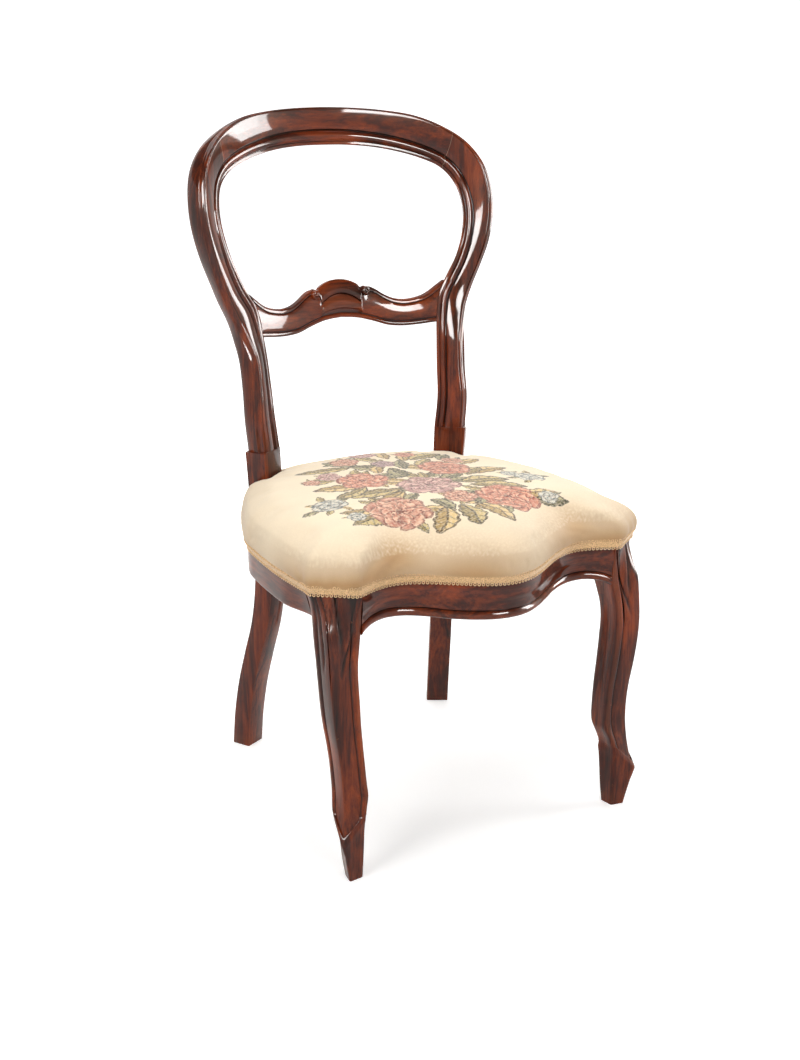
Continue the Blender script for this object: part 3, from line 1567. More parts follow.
@dataclass(frozen=True)
class Flower:
    """One flower of the bouquet, in plan."""

    x: float
    y: float
    radius: float
    kind: Bloom
    turn: float = 0.0
    petals: int = 5
    squash: float = 1.0

    def paint(self, spots: np.ndarray, colours: np.ndarray) -> None:
        """Stitches the flower over the ground.

        Args:
            spots: Places in plan, as rows of x and y.
            colours: The colours so far, changed in place.
        """
        dark, middle, light = (np.array(c) for c in self.kind.value)
        dx, dy = spots[:, 0] - self.x, (spots[:, 1] - self.y) / self.squash
        angle = np.arctan2(dy, dx) + self.turn
        reach = np.hypot(dx, dy) / self.radius
        angle = angle + 0.35 * np.sin(4 * reach + self.turn) + 0.12 * np.sin(5 * angle + 7 * reach)
        lobes = np.abs(np.cos(self.petals * angle / 2))
        inside = reach < 0.80 + 0.20 * lobes**0.6
        tier = reach * 2.7 + 0.42 * np.sin(self.petals * angle + 1.3 * np.floor(reach * 3.1))
        fold = tier % 1
        petal = np.abs(np.sin((self.petals * angle + 1.7 * np.floor(tier)) / 2))
        tone = 0.15 + 0.75 * fold + 0.18 * np.sin(9 * angle + 14 * reach)
        line = (fold < 0.17) | (petal < 0.13) | (reach > 0.73 + 0.20 * lobes**0.6)
        if self.kind is Bloom.BLUE:
            tone = 0.35 + 0.6 * lobes + 0.25 * np.sin(17 * angle)
            line = (petal < 0.22) | (np.abs(reach - 0.55) < 0.07) | (reach > 0.70 + 0.20 * lobes**0.6)
        tone = np.clip(tone, 0, 1)[:, None]
        low, high = dark + (middle - dark) * tone * 2, middle + (light - middle) * (tone * 2 - 1)
        shade = np.where(tone < 0.5, low, high)
        shade = np.where(line[:, None], shade * 0.25 + dark * 0.75, shade)
        shade = np.where((reach < 0.12)[:, None], dark, shade)
        colours[inside] = shade[inside]


@dataclass(frozen=True)
class Leaf:
    """One leaf of the bouquet, from its stalk to its tip, in plan."""

    x: float
    y: float
    length: float
    width: float
    angle: float
    kind: Leafage

    def paint(self, spots: np.ndarray, colours: np.ndarray) -> None:
        """Stitches the leaf over the ground.

        Args:
            spots: Places in plan, as rows of x and y.
            colours: The colours so far, changed in place.
        """
        dark, middle, light = (np.array(c) for c in self.kind.value)
        turn = math.radians(self.angle)
        dx, dy = spots[:, 0] - self.x, spots[:, 1] - self.y
        along = (dx * math.cos(turn) + dy * math.sin(turn)) / self.length
        across = (dy * math.cos(turn) - dx * math.sin(turn)) / (self.width / 2)
        across = across - 0.35 * np.sin(along * math.pi)
        notch = 0.82 + 0.18 * np.abs(np.sin(along * math.pi * 4.5))
        edge = np.sin(np.clip(along, 0, 1) * math.pi) ** 0.75 * notch
        inside = (along > 0) & (along < 1) & (np.abs(across) < edge)
        vein = np.abs((along * 5 - np.abs(across) * 0.9) % 1 - 0.5) > 0.40
        rib = np.abs(across) < 0.09
        rim = np.abs(across) > edge - 0.2
        lit = (across > 0)[:, None]
        shade = np.where(lit, light, middle)
        shade = np.where(vein[:, None], shade * 0.35 + dark * 0.65, shade)
        shade = np.where((rib | rim)[:, None], dark, shade)
        colours[inside] = shade[inside]


OLIVE, GOLD, MOSS = Leafage
SALMON, CORAL, MAUVE, PLUM, BLUE = Bloom
LEAVES = [Leaf(*row) for row in (
    (-0.045, -0.075, 0.085, 0.034, 172, OLIVE), (-0.05, -0.085, 0.08, 0.03, 205, GOLD),
    (0.035, -0.075, 0.07, 0.036, -6, OLIVE), (0.04, -0.09, 0.075, 0.032, -22, OLIVE),
    (-0.07, -0.03, 0.075, 0.032, 176, GOLD), (-0.08, -0.045, 0.06, 0.024, 205, OLIVE),
    (0.06, -0.045, 0.075, 0.03, 12, GOLD), (0.06, -0.05, 0.05, 0.026, 38, OLIVE),
    (-0.055, 0.045, 0.075, 0.026, 168, OLIVE), (-0.045, 0.05, 0.05, 0.024, 130, MOSS),
    (0.03, 0.045, 0.065, 0.03, 22, OLIVE), (0.02, 0.04, 0.05, 0.02, 60, GOLD),
    (-0.02, 0.02, 0.05, 0.026, 140, MOSS), (0.0, 0.0, 0.055, 0.026, 70, MOSS),
    (-0.012, -0.03, 0.045, 0.026, 95, MOSS), (0.02, 0.0, 0.06, 0.022, 48, OLIVE),
    (-0.03, -0.15, 0.06, 0.034, 232, GOLD), (-0.01, -0.15, 0.06, 0.034, 262, OLIVE),
    (0.012, -0.15, 0.06, 0.032, 288, GOLD), (0.02, -0.13, 0.05, 0.026, 310, OLIVE),
    (-0.035, -0.12, 0.045, 0.022, 285, MOSS), (0.03, -0.115, 0.045, 0.022, 250, MOSS),
    (-0.01, 0.05, 0.05, 0.022, 110, OLIVE), (0.005, 0.06, 0.045, 0.02, 70, GOLD),
    (-0.11, -0.14, 0.05, 0.024, 200, OLIVE), (0.095, -0.15, 0.045, 0.024, -25, MOSS),
    (-0.1, 0.0, 0.045, 0.02, 160, OLIVE), (0.085, 0.005, 0.05, 0.022, 30, GOLD),
    (-0.04, 0.0, 0.04, 0.02, 60, GOLD), (0.07, 0.03, 0.045, 0.02, 50, MOSS),
)]
FLOWERS = [Flower(*row) for row in (
    (-0.052, 0.073, 0.02, SALMON, 0.4), (0.04, 0.077, 0.015, CORAL, 1.2),
    (-0.012, 0.1, 0.02, MAUVE, 0.9), (-0.013, 0.038, 0.017, PLUM, 0.2),
    (-0.1, 0.02, 0.017, MAUVE, 2.1), (-0.13, 0.01, 0.012, SALMON, 0.5),
    (0.085, 0.028, 0.016, SALMON, 1.1), (-0.072, -0.018, 0.034, CORAL, 0.3, 5, 1.05),
    (0.052, -0.008, 0.036, CORAL, 1.4, 5, 1.0), (-0.008, -0.073, 0.043, MAUVE, 0.8, 6, 0.82),
    (-0.086, -0.137, 0.042, SALMON, 1.9, 6, 0.95), (0.064, -0.14, 0.042, CORAL, 2.6, 6, 0.92),
    (0.005, -0.125, 0.022, SALMON, 0.6), (0.138, -0.078, 0.021, BLUE, 0.1, 5),
    (0.12, -0.058, 0.012, BLUE, 0.9, 5), (-0.152, -0.086, 0.024, BLUE, 0.7, 5, 0.8),
    (-0.142, -0.138, 0.013, BLUE, 1.3, 5), (0.118, -0.15, 0.013, BLUE, 0.4, 5),
)]
CUT_CORNER_SHARES: list[Row] = [(0.13, 1), (0.35, 0.82), (0.565, 0.645), (0.8, 0.46), (1, 0.29)]


def sprigs(flower: Flower) -> list[Leaf]:
    """The small leaves that stand out behind a flower, all round it.

    Args:
        flower: The flower.

    Returns:
        The leaves.
    """
    made = []
    for k in range(round(flower.radius * 260)):
        angle = 57 * k + 31 * flower.turn
        turn = math.radians(angle)
        start = flower.radius * 0.55
        place = (flower.x + start * math.cos(turn), flower.y + start * math.sin(turn))
        outward = flower.x * math.cos(turn) + (flower.y + 0.05) * math.sin(turn)
        if outward > 0.5 * math.hypot(flower.x, flower.y + 0.05) and flower.radius > 0.03:
            continue
        length = flower.radius * (0.95 + 0.22 * math.sin(2.3 * k + flower.turn))
        kind = (MOSS, OLIVE, GOLD)[k % 3]
        made.append(Leaf(*place, length, length * 0.46, angle + 14 * math.sin(k), kind))
    return made


@dataclass
class Cushion:
    """The stuffed seat: its plan, its dome, its needlework and its puckers."""

    dome_rise: float = 0.0725
    border_bulge: float = 0.0075
    side_tilt: float = 0.005
    rear_rise: float = 0.008
    front_fall: float = 0.003
    centre_share: float = -0.14
    cloth_gap: float = 0.0006
    core_inset: float = 0.0035
    hessian_inset: float = 0.0155
    corner_inset: float = 0.012
    dip_place: float = 0.13
    dip_width: float = 0.02
    dip_depth: float = 0.0042
    hessian_space: float = 0.0369
    top_share: float = 0.992
    levels: int = 44
    grid: float = 0.005
    pressure: float = 4.0
    frames: int = 20
    farthest: float = 0.0028
    farthest_corner: float = 0.0006
    corner_place: tuple[float, float] = (0.208, -0.215)
    pucker_place: tuple[float, float] = (0.208, -0.222)
    pucker_depth: float = 0.0011
    pucker_reach: float = 0.045
    corner_reach: float = 0.05
    pinned_height: float = 0.014
    bouquet_place: tuple[float, float] = (0.0, -0.018)
    bouquet_size: tuple[float, float] = (1.04, 1.04)
    cream: Colour = (0.86, 0.72, 0.52)
    tan: Colour = (0.5, 0.29, 0.125)

    def __post_init__(self) -> None:
        """Lays the plan out."""
        self.plan = self.outline()

    @property
    def centre(self) -> np.ndarray:
        """The point of the plan to which the dome draws in."""
        return np.array((0, self.centre_share * PLAN.seat_depth))

    def outline(self) -> np.ndarray:
        """The seat's plan, round from the middle of the front.

        Returns:
            Points in plan, in order.
        """
        rails = SeatRails()
        corner = np.array((PLAN.block_inner, PLAN.block_back))
        size = np.array((PLAN.block_width, -PLAN.block_depth))
        cut = [corner + np.array(share) * size for share in CUT_CORNER_SHARES]
        inner, _, back, _, depth = Back().leg_corners(PLAN.seat_height / PLAN.notch_height)
        x, y = inner + back * depth
        rear = [(x * share, y) for share in (1, 0.66, 0.33)]
        half = [*rails.front_path(120)[60::2], *cut, *rails.side_path(40), *rear]
        others = [(-x, y) for x, y in half[:0:-1]]
        return np.array([*half, (0, y), *others])

    def spokes(self, inset: float | np.ndarray = 0.0) -> np.ndarray:
        """The plan's points as seen from the dome's centre, drawn in by a distance."""
        away = self.plan - self.centre
        length = np.linalg.norm(away, axis=1, keepdims=True)
        return away * (length - inset) / length

    def near_corner(self, spots: np.ndarray) -> np.ndarray:
        """How near each place in plan is to a front corner, from 0 to 1, as a column."""
        away = np.hypot(np.abs(spots[:, 0]) - self.corner_place[0], spots[:, 1] - self.corner_place[1])
        return np.clip(1 - away / self.corner_reach, 0, 1)[:, None]

    def core_plan(self, inset: float) -> np.ndarray:
        """The plan drawn in by an inset, and further at the front corners, where the cushion is low."""
        return self.centre + self.spokes(inset + self.corner_inset * self.near_corner(self.plan))

    def ring(self, share: float) -> np.ndarray:
        """The points round the seat at a share of the way up the cover's profile.

        Args:
            share: The share of the profile.

        Returns:
            The points in order.
        """
        rise, push, draw = SmoothPath(np.array(COVER_PROFILE)).at(share)
        away = self.spokes()
        reach = np.linalg.norm(away, axis=1, keepdims=True)
        across, along = away[:, 0] / PLAN.seat_half_width, 2 * away[:, 1] / PLAN.seat_depth
        weight = step_up(rise, 0.255, 0.62) * (1 - draw)
        crown = np.where(along > 0, self.rear_rise * np.cos(across * math.pi / 2) ** 2, self.front_fall)
        height = rise * self.dome_rise + weight * (along * crown - across * self.side_tilt)
        out = push * self.border_bulge - draw * reach
        plan = self.centre + away * (reach + out) / reach
        return np.column_stack((plan, PLAN.seat_height + height))

    def prism(self, plan: np.ndarray, low: float, high: float) -> Skin:
        """An upright solid over a plan."""
        return loft(np.array([[(x, y, z) for x, y in plan] for z in (low, high)]))

    def post_space(self, side: int) -> Piece:
        """The space round a post, open to the back.

        Args:
            side: 1 on the right, -1 on the left.

        Returns:
            A tool for a cut.
        """
        rings = []
        gap, open_to, back = self.cloth_gap, 0.06, Back()
        for height in np.linspace(PLAN.seat_height - 0.03, PLAN.notch_height, 12):
            inner, across, behind, width, depth = back.leg_corners(height / PLAN.notch_height)
            ends = (-gap, width + gap)
            corners = [(a, -gap) for a in ends] + [(a, depth + open_to) for a in ends[::-1]]
            rings.append([(*(inner + a * across + b * behind), height) for a, b in corners])
        return make_piece("post_space", [loft(np.array(rings)).on_side(side)], smooth=False)

    def clear_posts(self, piece: Piece) -> None:
        """Cuts a piece round both posts."""
        for side in SIDES.values():
            apply_boolean(piece, self.post_space(side), "DIFFERENCE")

    def blank(self) -> Piece:
        """The filled seat, cut round the posts.

        Returns:
            The seat, on an even grid.
        """
        rings = np.array([self.ring(s) for s in np.linspace(0, self.top_share, self.levels)])
        seat = make_piece("seat_cushion", [loft(rings)])
        self.clear_posts(seat)
        remesh = seat.modifiers.new("grid", "REMESH")
        remesh.mode = "VOXEL"
        remesh.voxel_size = self.grid * 1
        bake_modifiers(seat)
        return seat

    def fill(self, seat: Piece) -> None:
        """Presses the stuffing against the cloth, and keeps every point near its place.

        Args:
            seat: The seat's blank, changed in place.
        """
        start = places_of(seat)
        held = seat.vertex_groups.new(name="held")
        low, high = self.pinned_height * 0.6, self.pinned_height * 1.6
        for vertex in seat.data.vertices:
            free = step_up(vertex.co.z - PLAN.seat_height, low, high)
            held.add([vertex.index], 1 - 0.98 * free, "REPLACE")
        cloth = seat.modifiers.new("cloth", "CLOTH")
        settings = cloth.settings
        settings.use_pressure = True
        settings.uniform_pressure_force = self.pressure
        settings.vertex_group_mass = held.name
        settings.effector_weights.gravity = 0
        settings.quality = 4
        settings.tension_stiffness = 40
        settings.bending_stiffness = 4
        cloth.point_cache.frame_start, cloth.point_cache.frame_end = 1, self.frames
        scene = bpy.context.scene
        for number in range(1, self.frames + 1):
            scene.frame_set(number)
        bake_modifiers(seat)
        scene.frame_set(1)
        moved = places_of(seat) - start
        length = np.linalg.norm(moved, axis=1, keepdims=True)
        log.info("the cloth moved by up to %.1f mm", 1000 * float(length.max()))
        near = self.near_corner(start[:, :2] - (0, PLAN.shift))
        cap = self.farthest + (self.farthest_corner - self.farthest) * np.minimum(near * 1.6, 1)
        moved *= np.minimum(1, cap / np.maximum(length, 1e-9))
        seat.data.vertices.foreach_set("co", (start + moved).ravel())
        seat.data.update()

    def pucker(self, places: np.ndarray) -> np.ndarray:
        """How far the cloth stands out at each place, in puckers near the corners and slight hollows.

        Args:
            places: The cloth's points, from the chair's middle.

        Returns:
            The lift of each point.
        """
        lift = np.zeros(len(places))
        over = places[:, 2] - PLAN.seat_height
        x, y = self.pucker_place
        for side, strength in ((-1, 1.0), (1, 0.7)):
            dx, dy = places[:, 0] - side * x, places[:, 1] - y
            near = np.exp(-(dx**2 + dy**2) / self.pucker_reach**2) * bell(over, 0.014, 0.022)
            lift += strength * self.pucker_depth * near * np.sin((dx * side + dy) * 210 + 0.6 * side)
        dip = bell(np.abs(places[:, 0]), self.dip_place, self.dip_width) * (places[:, 1] < -0.12)
        lift -= self.dip_depth * dip * bell(over, 0.04, 0.024)
        for scale, gain in ((14, 0.0011), (45, 0.0004)):
            lift += [gain * noise.noise([value * scale for value in place]) for place in places]
        return lift * np.clip((over - 0.002) / 0.008, 0, 1)

    def stitched(self, face: bmesh.types.BMFace) -> bool:
        """Whether a face lies on the top, where the bouquet is stitched or close to it."""
        x, y, z = face.calc_center_median()
        inside = abs(x) < 0.18 and -0.255 < y - PLAN.shift < 0.115
        return inside and face.normal.z > 0.5 and z > PLAN.seat_height + 0.04

    def refine(self, seat: Piece) -> None:
        """Makes the mesh finer, most of all where the bouquet is stitched.

        Args:
            seat: The seat, changed in place.
        """
        finer = seat.modifiers.new("finer", "SUBSURF")
        finer.levels = finer.render_levels = 1
        bake_modifiers(seat)
        with editing(seat) as build:
            spot = [face for face in build.faces if self.stitched(face)]
            edges = dict.fromkeys(edge for face in spot for edge in face.edges)
            bmesh.ops.subdivide_edges(build, edges=list(edges), cuts=1, use_grid_fill=True, smooth=0.0)

    def ageing(self, places: np.ndarray, over: np.ndarray) -> np.ndarray:
        """How much each place of the border has aged, from 0 to 1.

        Args:
            places: The cloth's points, from the chair's middle.
            over: Their heights as shares of the dome's.

        Returns:
            The age of each point.
        """
        x, y, _ = places.T
        age = np.clip(1.25 - over * 1.3, 0, 1) * (0.45 + 0.6 * np.clip((-y - 0.1) / 0.12, 0, 1))
        spots = places + (0, PLAN.shift, 0)
        age *= [0.75 + 0.5 * noise.noise((a * 11, b * 11, c * 20)) for a, b, c in spots]
        corner = np.exp(-((x + 0.215) ** 2 + (y + 0.2) ** 2) / 0.05**2)
        dips = bell(np.abs(x), self.dip_place, 0.03) * (y < -0.15)
        age = age + 0.5 * corner * np.clip(1.1 - over * 1.6, 0, 1)
        return np.clip(age + 0.45 * dips * bell(over, 0.5, 0.25), 0, 1)

    def paint(self, seat: Piece) -> None:
        """Stitches the bouquet and the aged border into the cloth's colours.

        Args:
            seat: The seat.
        """
        places = places_of(seat) - (0, PLAN.shift, 0)
        cream = np.array(self.cream)
        colours = np.tile(cream, (len(places), 1))
        over = (places[:, 2] - PLAN.seat_height) / self.dome_rise
        colours += self.ageing(places, over)[:, None] * (np.array(self.tan) - colours)
        top = over > 0.5
        drawn = (places[top, :2] - self.bouquet_place) / self.bouquet_size
        wobble = [[0.0024 * noise.noise((x * 70, y * 70, layer)) for layer in (3, 9)] for x, y in drawn]
        spots, stitched = drawn + np.array(wobble), colours[top]
        for shape in (*(leaf for flower in FLOWERS for leaf in sprigs(flower)), *LEAVES, *FLOWERS):
            shape.paint(spots, stitched)
        worn = np.array([0.16 + 0.6 * noise.noise((x * 420, y * 420, 1)) for x, y in drawn])[:, None]
        colours[top] = stitched + np.clip(worn, 0, 1) * (cream - stitched)
        layer = seat.data.color_attributes.new(PAINT, "FLOAT_COLOR", "POINT")
        layer.data.foreach_set("color", np.column_stack((colours, np.ones(len(colours)))).ravel())

    def hollow(self, seat: Piece) -> None:
        """Opens the seat from below over the rails and the hessian.

        Args:
            seat: The seat, changed in place.
        """
        low, ceiling = PLAN.seat_height - 0.02, PLAN.seat_height + self.hessian_space
        for inset, high in ((self.core_inset, PLAN.rail_top + PLAN.gap), (self.hessian_inset, ceiling)):
            space = self.prism(self.core_plan(inset), low, high)
            apply_boolean(seat, make_piece("core_tool", [space], smooth=False), "DIFFERENCE")

    def build(self, cloth: Material) -> None:
        """Makes the cushion.

        Args:
            cloth: The needlework's material.
        """
        seat = self.blank()
        self.fill(seat)
        self.refine(seat)
        places = places_of(seat)
        normals = np.array([v.normal[:] for v in seat.data.vertices])
        places += normals * self.pucker(places - (0, PLAN.shift, 0))[:, None]
        seat.data.vertices.foreach_set("co", places.ravel())
        self.hollow(seat)
        self.paint(seat)
        soften(seat, math.radians(60))
        dress(seat, cloth, "tapestry", "seat_cover", "stuffing")


@dataclass
class Gimp:
    """The braid along the cover's lower edge: a ribbed band with a row of loops on each edge."""

    width: float = 0.0078
    thickness: float = 0.0015
    ribs: int = 3
    rib_share: float = 0.28
    pitch: float = 0.0051
    loop_radius: float = 0.0016
    thread: float = 0.00065
    stand_out: float = 0.0017
    lift: float = 0.0005
    rise: float = 0.0017

    def section(self) -> list[tuple[float, float]]:
        """Height and distance out of the band's section: flat behind, three ribs before."""
        ribs = []
        for share in np.linspace(0, 1, 25):
            out = 1 - self.rib_share + self.rib_share * abs(math.sin(share * math.pi * self.ribs))
            ribs.append((share * self.width, self.thickness * out))
        return [(0, 0), *ribs, (self.width, 0)]

    def run(self, name: str, cushion: Cushion, first: int, last: int, braid: Material) -> None:
        """Makes one run of the braid and its loops.

        Args:
            name: Its node's name.
            cushion: The seat that it lies on.
            first: The plan's point at which it starts.
            last: The plan's point at which it ends.
            braid: Its material.
        """
        index = np.arange(first, last + 1) % len(cushion.plan)
        away = cushion.plan[index] - cushion.centre
        away /= np.linalg.norm(away, axis=1, keepdims=True)
        low, high = (cushion.ring(share)[index] for share in (0, 0.1))
        lean = np.linalg.norm(high[:, :2] - low[:, :2], axis=1, keepdims=True)
        slope = lean / (high[0, 2] - low[0, 2])
        section = self.section()
        rings = []
        for height, out in section:
            plan = low[:, :2] + away * (self.lift + out + slope * height)
            over = np.full(len(plan), PLAN.seat_height + self.rise + height)
            rings.append(np.column_stack((plan, over)))
        rings = np.array(rings).transpose(1, 0, 2)
        band = make_piece(f"{name}_finished", [loft(rings)])
        cushion.clear_posts(band)
        for row, side in ((2, -1), (len(section) - 3, 1)):
            join_in(band, self.loops(rings[:, row] + (0, 0, side * self.stand_out)))
        soften(band, math.radians(50))
        dress(band, braid, "gimp", name)

    def loops(self, edge: np.ndarray) -> Piece:
        """A row of small loops along an edge, made by nodes and turned into a mesh.

        Args:
            edge: The points of the edge.

        Returns:
            The row, with no modifier left.
        """
        mesh = bpy.data.meshes.new("loops")
        points = [(x, y + PLAN.shift, z) for x, y, z in SmoothPath(edge).spaced(max(len(edge) * 2, 8))]
        mesh.from_pydata(points, [(k, k + 1) for k in range(len(points) - 1)], [])
        rail = new_object("loops", mesh)
        tree = bpy.data.node_groups.new("loops", "GeometryNodeTree")
        tree.interface.new_socket("Geometry", in_out="INPUT", socket_type="NodeSocketGeometry")
        sizes = {"Pitch": self.pitch, "Loop": self.loop_radius, "Thread": self.thread}
        new_socket = tree.interface.new_socket
        sockets = [new_socket(key, in_out="INPUT", socket_type="NodeSocketFloat") for key in sizes]
        new_socket("Geometry", in_out="OUTPUT", socket_type="NodeSocketGeometry")
        given = add_node(tree, "NodeGroupInput").outputs
        curve = add_node(tree, "GeometryNodeMeshToCurve", {"Mesh": given["Geometry"]})
        stops = {"Curve": curve.outputs[0], "Length": given["Pitch"]}
        spots = add_node(tree, "GeometryNodeCurveToPoints", stops, mode="LENGTH").outputs
        rounds = [{"Resolution": sides, "Radius": given[key]} for sides, key in ((7, "Loop"), (4, "Thread"))]
        circle, thread = (add_node(tree, "GeometryNodeCurvePrimitiveCircle", each) for each in rounds)
        tube = {"Curve": circle.outputs[0], "Profile Curve": thread.outputs[0], "Fill Caps": True}
        ring = add_node(tree, "GeometryNodeCurveToMesh", tube)
        quarter = {"Rotation": spots["Rotation"], 1: (0, math.radians(90), 0)}
        upright = add_node(tree, "FunctionNodeRotateEuler", quarter, rotation_type="EULER", space="LOCAL")
        copies = {"Points": spots["Points"], "Instance": ring.outputs[0], "Rotation": upright.outputs[0]}
        placed = add_node(tree, "GeometryNodeInstanceOnPoints", copies)
        real = add_node(tree, "GeometryNodeRealizeInstances", {"Geometry": placed.outputs[0]})
        add_node(tree, "NodeGroupOutput", {0: real.outputs[0]})
        modifier = rail.modifiers.new("loops", "NODES")
        modifier.node_group = tree
        for socket, value in zip(sockets, sizes.values()):
            modifier[socket.identifier] = value
        bake_modifiers(rail)
        return rail

    def build(self, cushion: Cushion, braid: Material) -> None:
        """Makes the long run over the front and the short one over the back."""
        half = len(cushion.plan) // 2
        self.run("gimp_front", cushion, 4 - half, half - 4, braid)
        self.run("gimp_rear", cushion, half - 3, half + 3, braid)


def join_in(piece: Piece, other: Piece) -> None:
    """Puts another object's mesh in with a piece's own, and removes the other."""
    with editing(piece) as build:
        build.from_mesh(other.data)
    bpy.data.objects.remove(other)


@dataclass
class Underside:
    """The webbing and the hessian that carry the stuffing."""

    width: float = 0.05
    thickness: float = 0.0016
    hessian_thickness: float = 0.0012
    hessian_inset: float = 0.016
    across_shares: tuple[float, ...] = (-0.31, -0.11, 0.085)
    along_shares: tuple[float, ...] = (-0.41, 0.0, 0.41)
    front_shares: tuple[float, ...] = (-0.5, -0.645, -0.5)
    reach_shares: tuple[float, ...] = (0.955, 0.955, 0.79)
    rear_share: float = 0.308

    def strap(self, start: float, end: float, crossings: list[float], phase: int) -> np.ndarray:
        """Places along a strap and its height over the rails at each.

        Args:
            start: Where it starts.
            end: Where it ends.
            crossings: Where others cross it.
            phase: Whether it goes over the first of them, 0, or under, 1.

        Returns:
            Rows of place and height.
        """
        stops = [(start, 0.0)]
        for k, at in enumerate(crossings):
            lift = (self.thickness + PLAN.gap) / 2 * (1 if (k + phase) % 2 == 0 else -1)
            stops += [(at - 0.75 * self.width, lift), (at - 0.5 * self.width, lift)]
            stops += [(at + 0.5 * self.width, lift), (at + 0.75 * self.width, lift)]
        return np.array([*stops, (end, 0.0)])

    def weave(self, name: str, stops: np.ndarray, middle: float, turned: bool, jute: Material) -> None:
        """Makes one strap.

        Args:
            name: Its node's name.
            stops: Places along it and its height over the rails at each.
            middle: Where it lies across its own way.
            turned: Whether it runs from front to back.
            jute: Its material.
        """
        half, thin = self.width / 2, self.thickness / 2
        base, low, spread = PLAN.rail_top + PLAN.gap + thin, thin * 0.6, np.linspace(-0.97, 0.97, 9)
        section = [(-half, -low), (-half, low), *((s * half, thin) for s in spread)]
        section += [(half, low), (half, -low), *((-s * half, -thin) for s in spread)]
        rings = []
        for at in np.linspace(stops[0, 0], stops[-1, 0], 81):
            lift = float(np.interp(at, stops[:, 0], stops[:, 1]))
            ring = [(at, middle + a, base + lift + b) for a, b in section]
            rings.append([(y, x, z) for x, y, z in ring] if turned else ring)
        strap = make_piece(f"{name}_finished", [loft(np.array(rings))])
        dress(strap, jute, "webbing", name)

    def hessian(self, cushion: Cushion, sacking: Material) -> None:
        """Makes the hessian over the webbing.

        Args:
            cushion: The seat over it.
            sacking: Its material.
        """
        low = PLAN.rail_top + PLAN.gap + self.thickness + (self.thickness + PLAN.gap) / 2 + PLAN.gap
        plan = cushion.centre + cushion.spokes(self.hessian_inset)
        prism = cushion.prism(plan, low, low + self.hessian_thickness)
        cloth = make_piece("hessian_finished", [prism], smooth=False)
        cushion.clear_posts(cloth)
        dress(cloth, sacking, "hessian", "hessian")

    def build(self, cushion: Cushion, jute: Material, sacking: Material) -> None:
        """Makes the straps and the hessian.

        Args:
            cushion: The seat over them.
            jute: The straps' material.
            sacking: The hessian's material.
        """
        across = [share * PLAN.seat_depth for share in self.across_shares]
        along = [share * PLAN.seat_half_width for share in self.along_shares]
        for k, x in enumerate(along):
            start, end = self.front_shares[k] * PLAN.seat_depth, self.rear_share * PLAN.seat_depth
            stops = self.strap(start, end, across, k)
            self.weave(f"web_front_back_{k + 1}", stops, x, True, jute)
        for k, y in enumerate(across):
            reach = self.reach_shares[k] * PLAN.seat_half_width
            self.weave(f"web_across_{k + 1}", self.strap(-reach, reach, along, k + 1), y, False, jute)
        self.hessian(cushion, sacking)


@dataclass(frozen=True)
class Lamp:
    """A soft box that looks at a goal; a gleam shows in the polish alone."""

    name: str
    place: Row
    goal: Row
    size: Row
    power: float
    gleam: bool = False

    def hang(self) -> None:
        """Makes the lamp."""
        data = bpy.data.lights.new(self.name, "AREA")
        data.shape, data.size, data.size_y = "RECTANGLE", *self.size
        data.energy = self.power
        lamp = new_object(self.name, data)
        lamp.visible_diffuse = not self.gleam
        way = Vector(self.goal) - Vector(self.place)
        turn = way.to_track_quat("-Z", "Y").to_matrix().to_4x4()
        lamp.matrix_world = Matrix.Translation(self.place) @ turn


LAMPS = (
    Lamp("key", (-2.3, -0.9, 2.1), (0, 0, 0.5), (1.1, 1.1), 34),
    Lamp("front", (0.12, -2.5, 1.75), (0, 0, 0.6), (0.95, 0.85), 20),
    Lamp("gleam", (0.0, -2.4, 1.8), (0, 0, 0.6), (1.2, 0.85), 120, gleam=True),
    Lamp("window", (-2.35, -1.0, 2.0), (0, 0, 0.6), (1.5, 1.2), 190, gleam=True),
    Lamp("side", (2.4, -0.7, 1.5), (0, 0, 0.5), (0.7, 1.6), 20),
    Lamp("above", (0.1, 0.6, 2.7), (0, 0, 0.3), (2.0, 1.8), 46),
    Lamp("door", (2.4, -0.75, 1.15), (0, 0, 0.75), (1.0, 1.6), 130, gleam=True),
    Lamp("rear", (1.5, 2.2, 1.5), (0, 0, 0.6), (1.0, 1.0), 16),
)


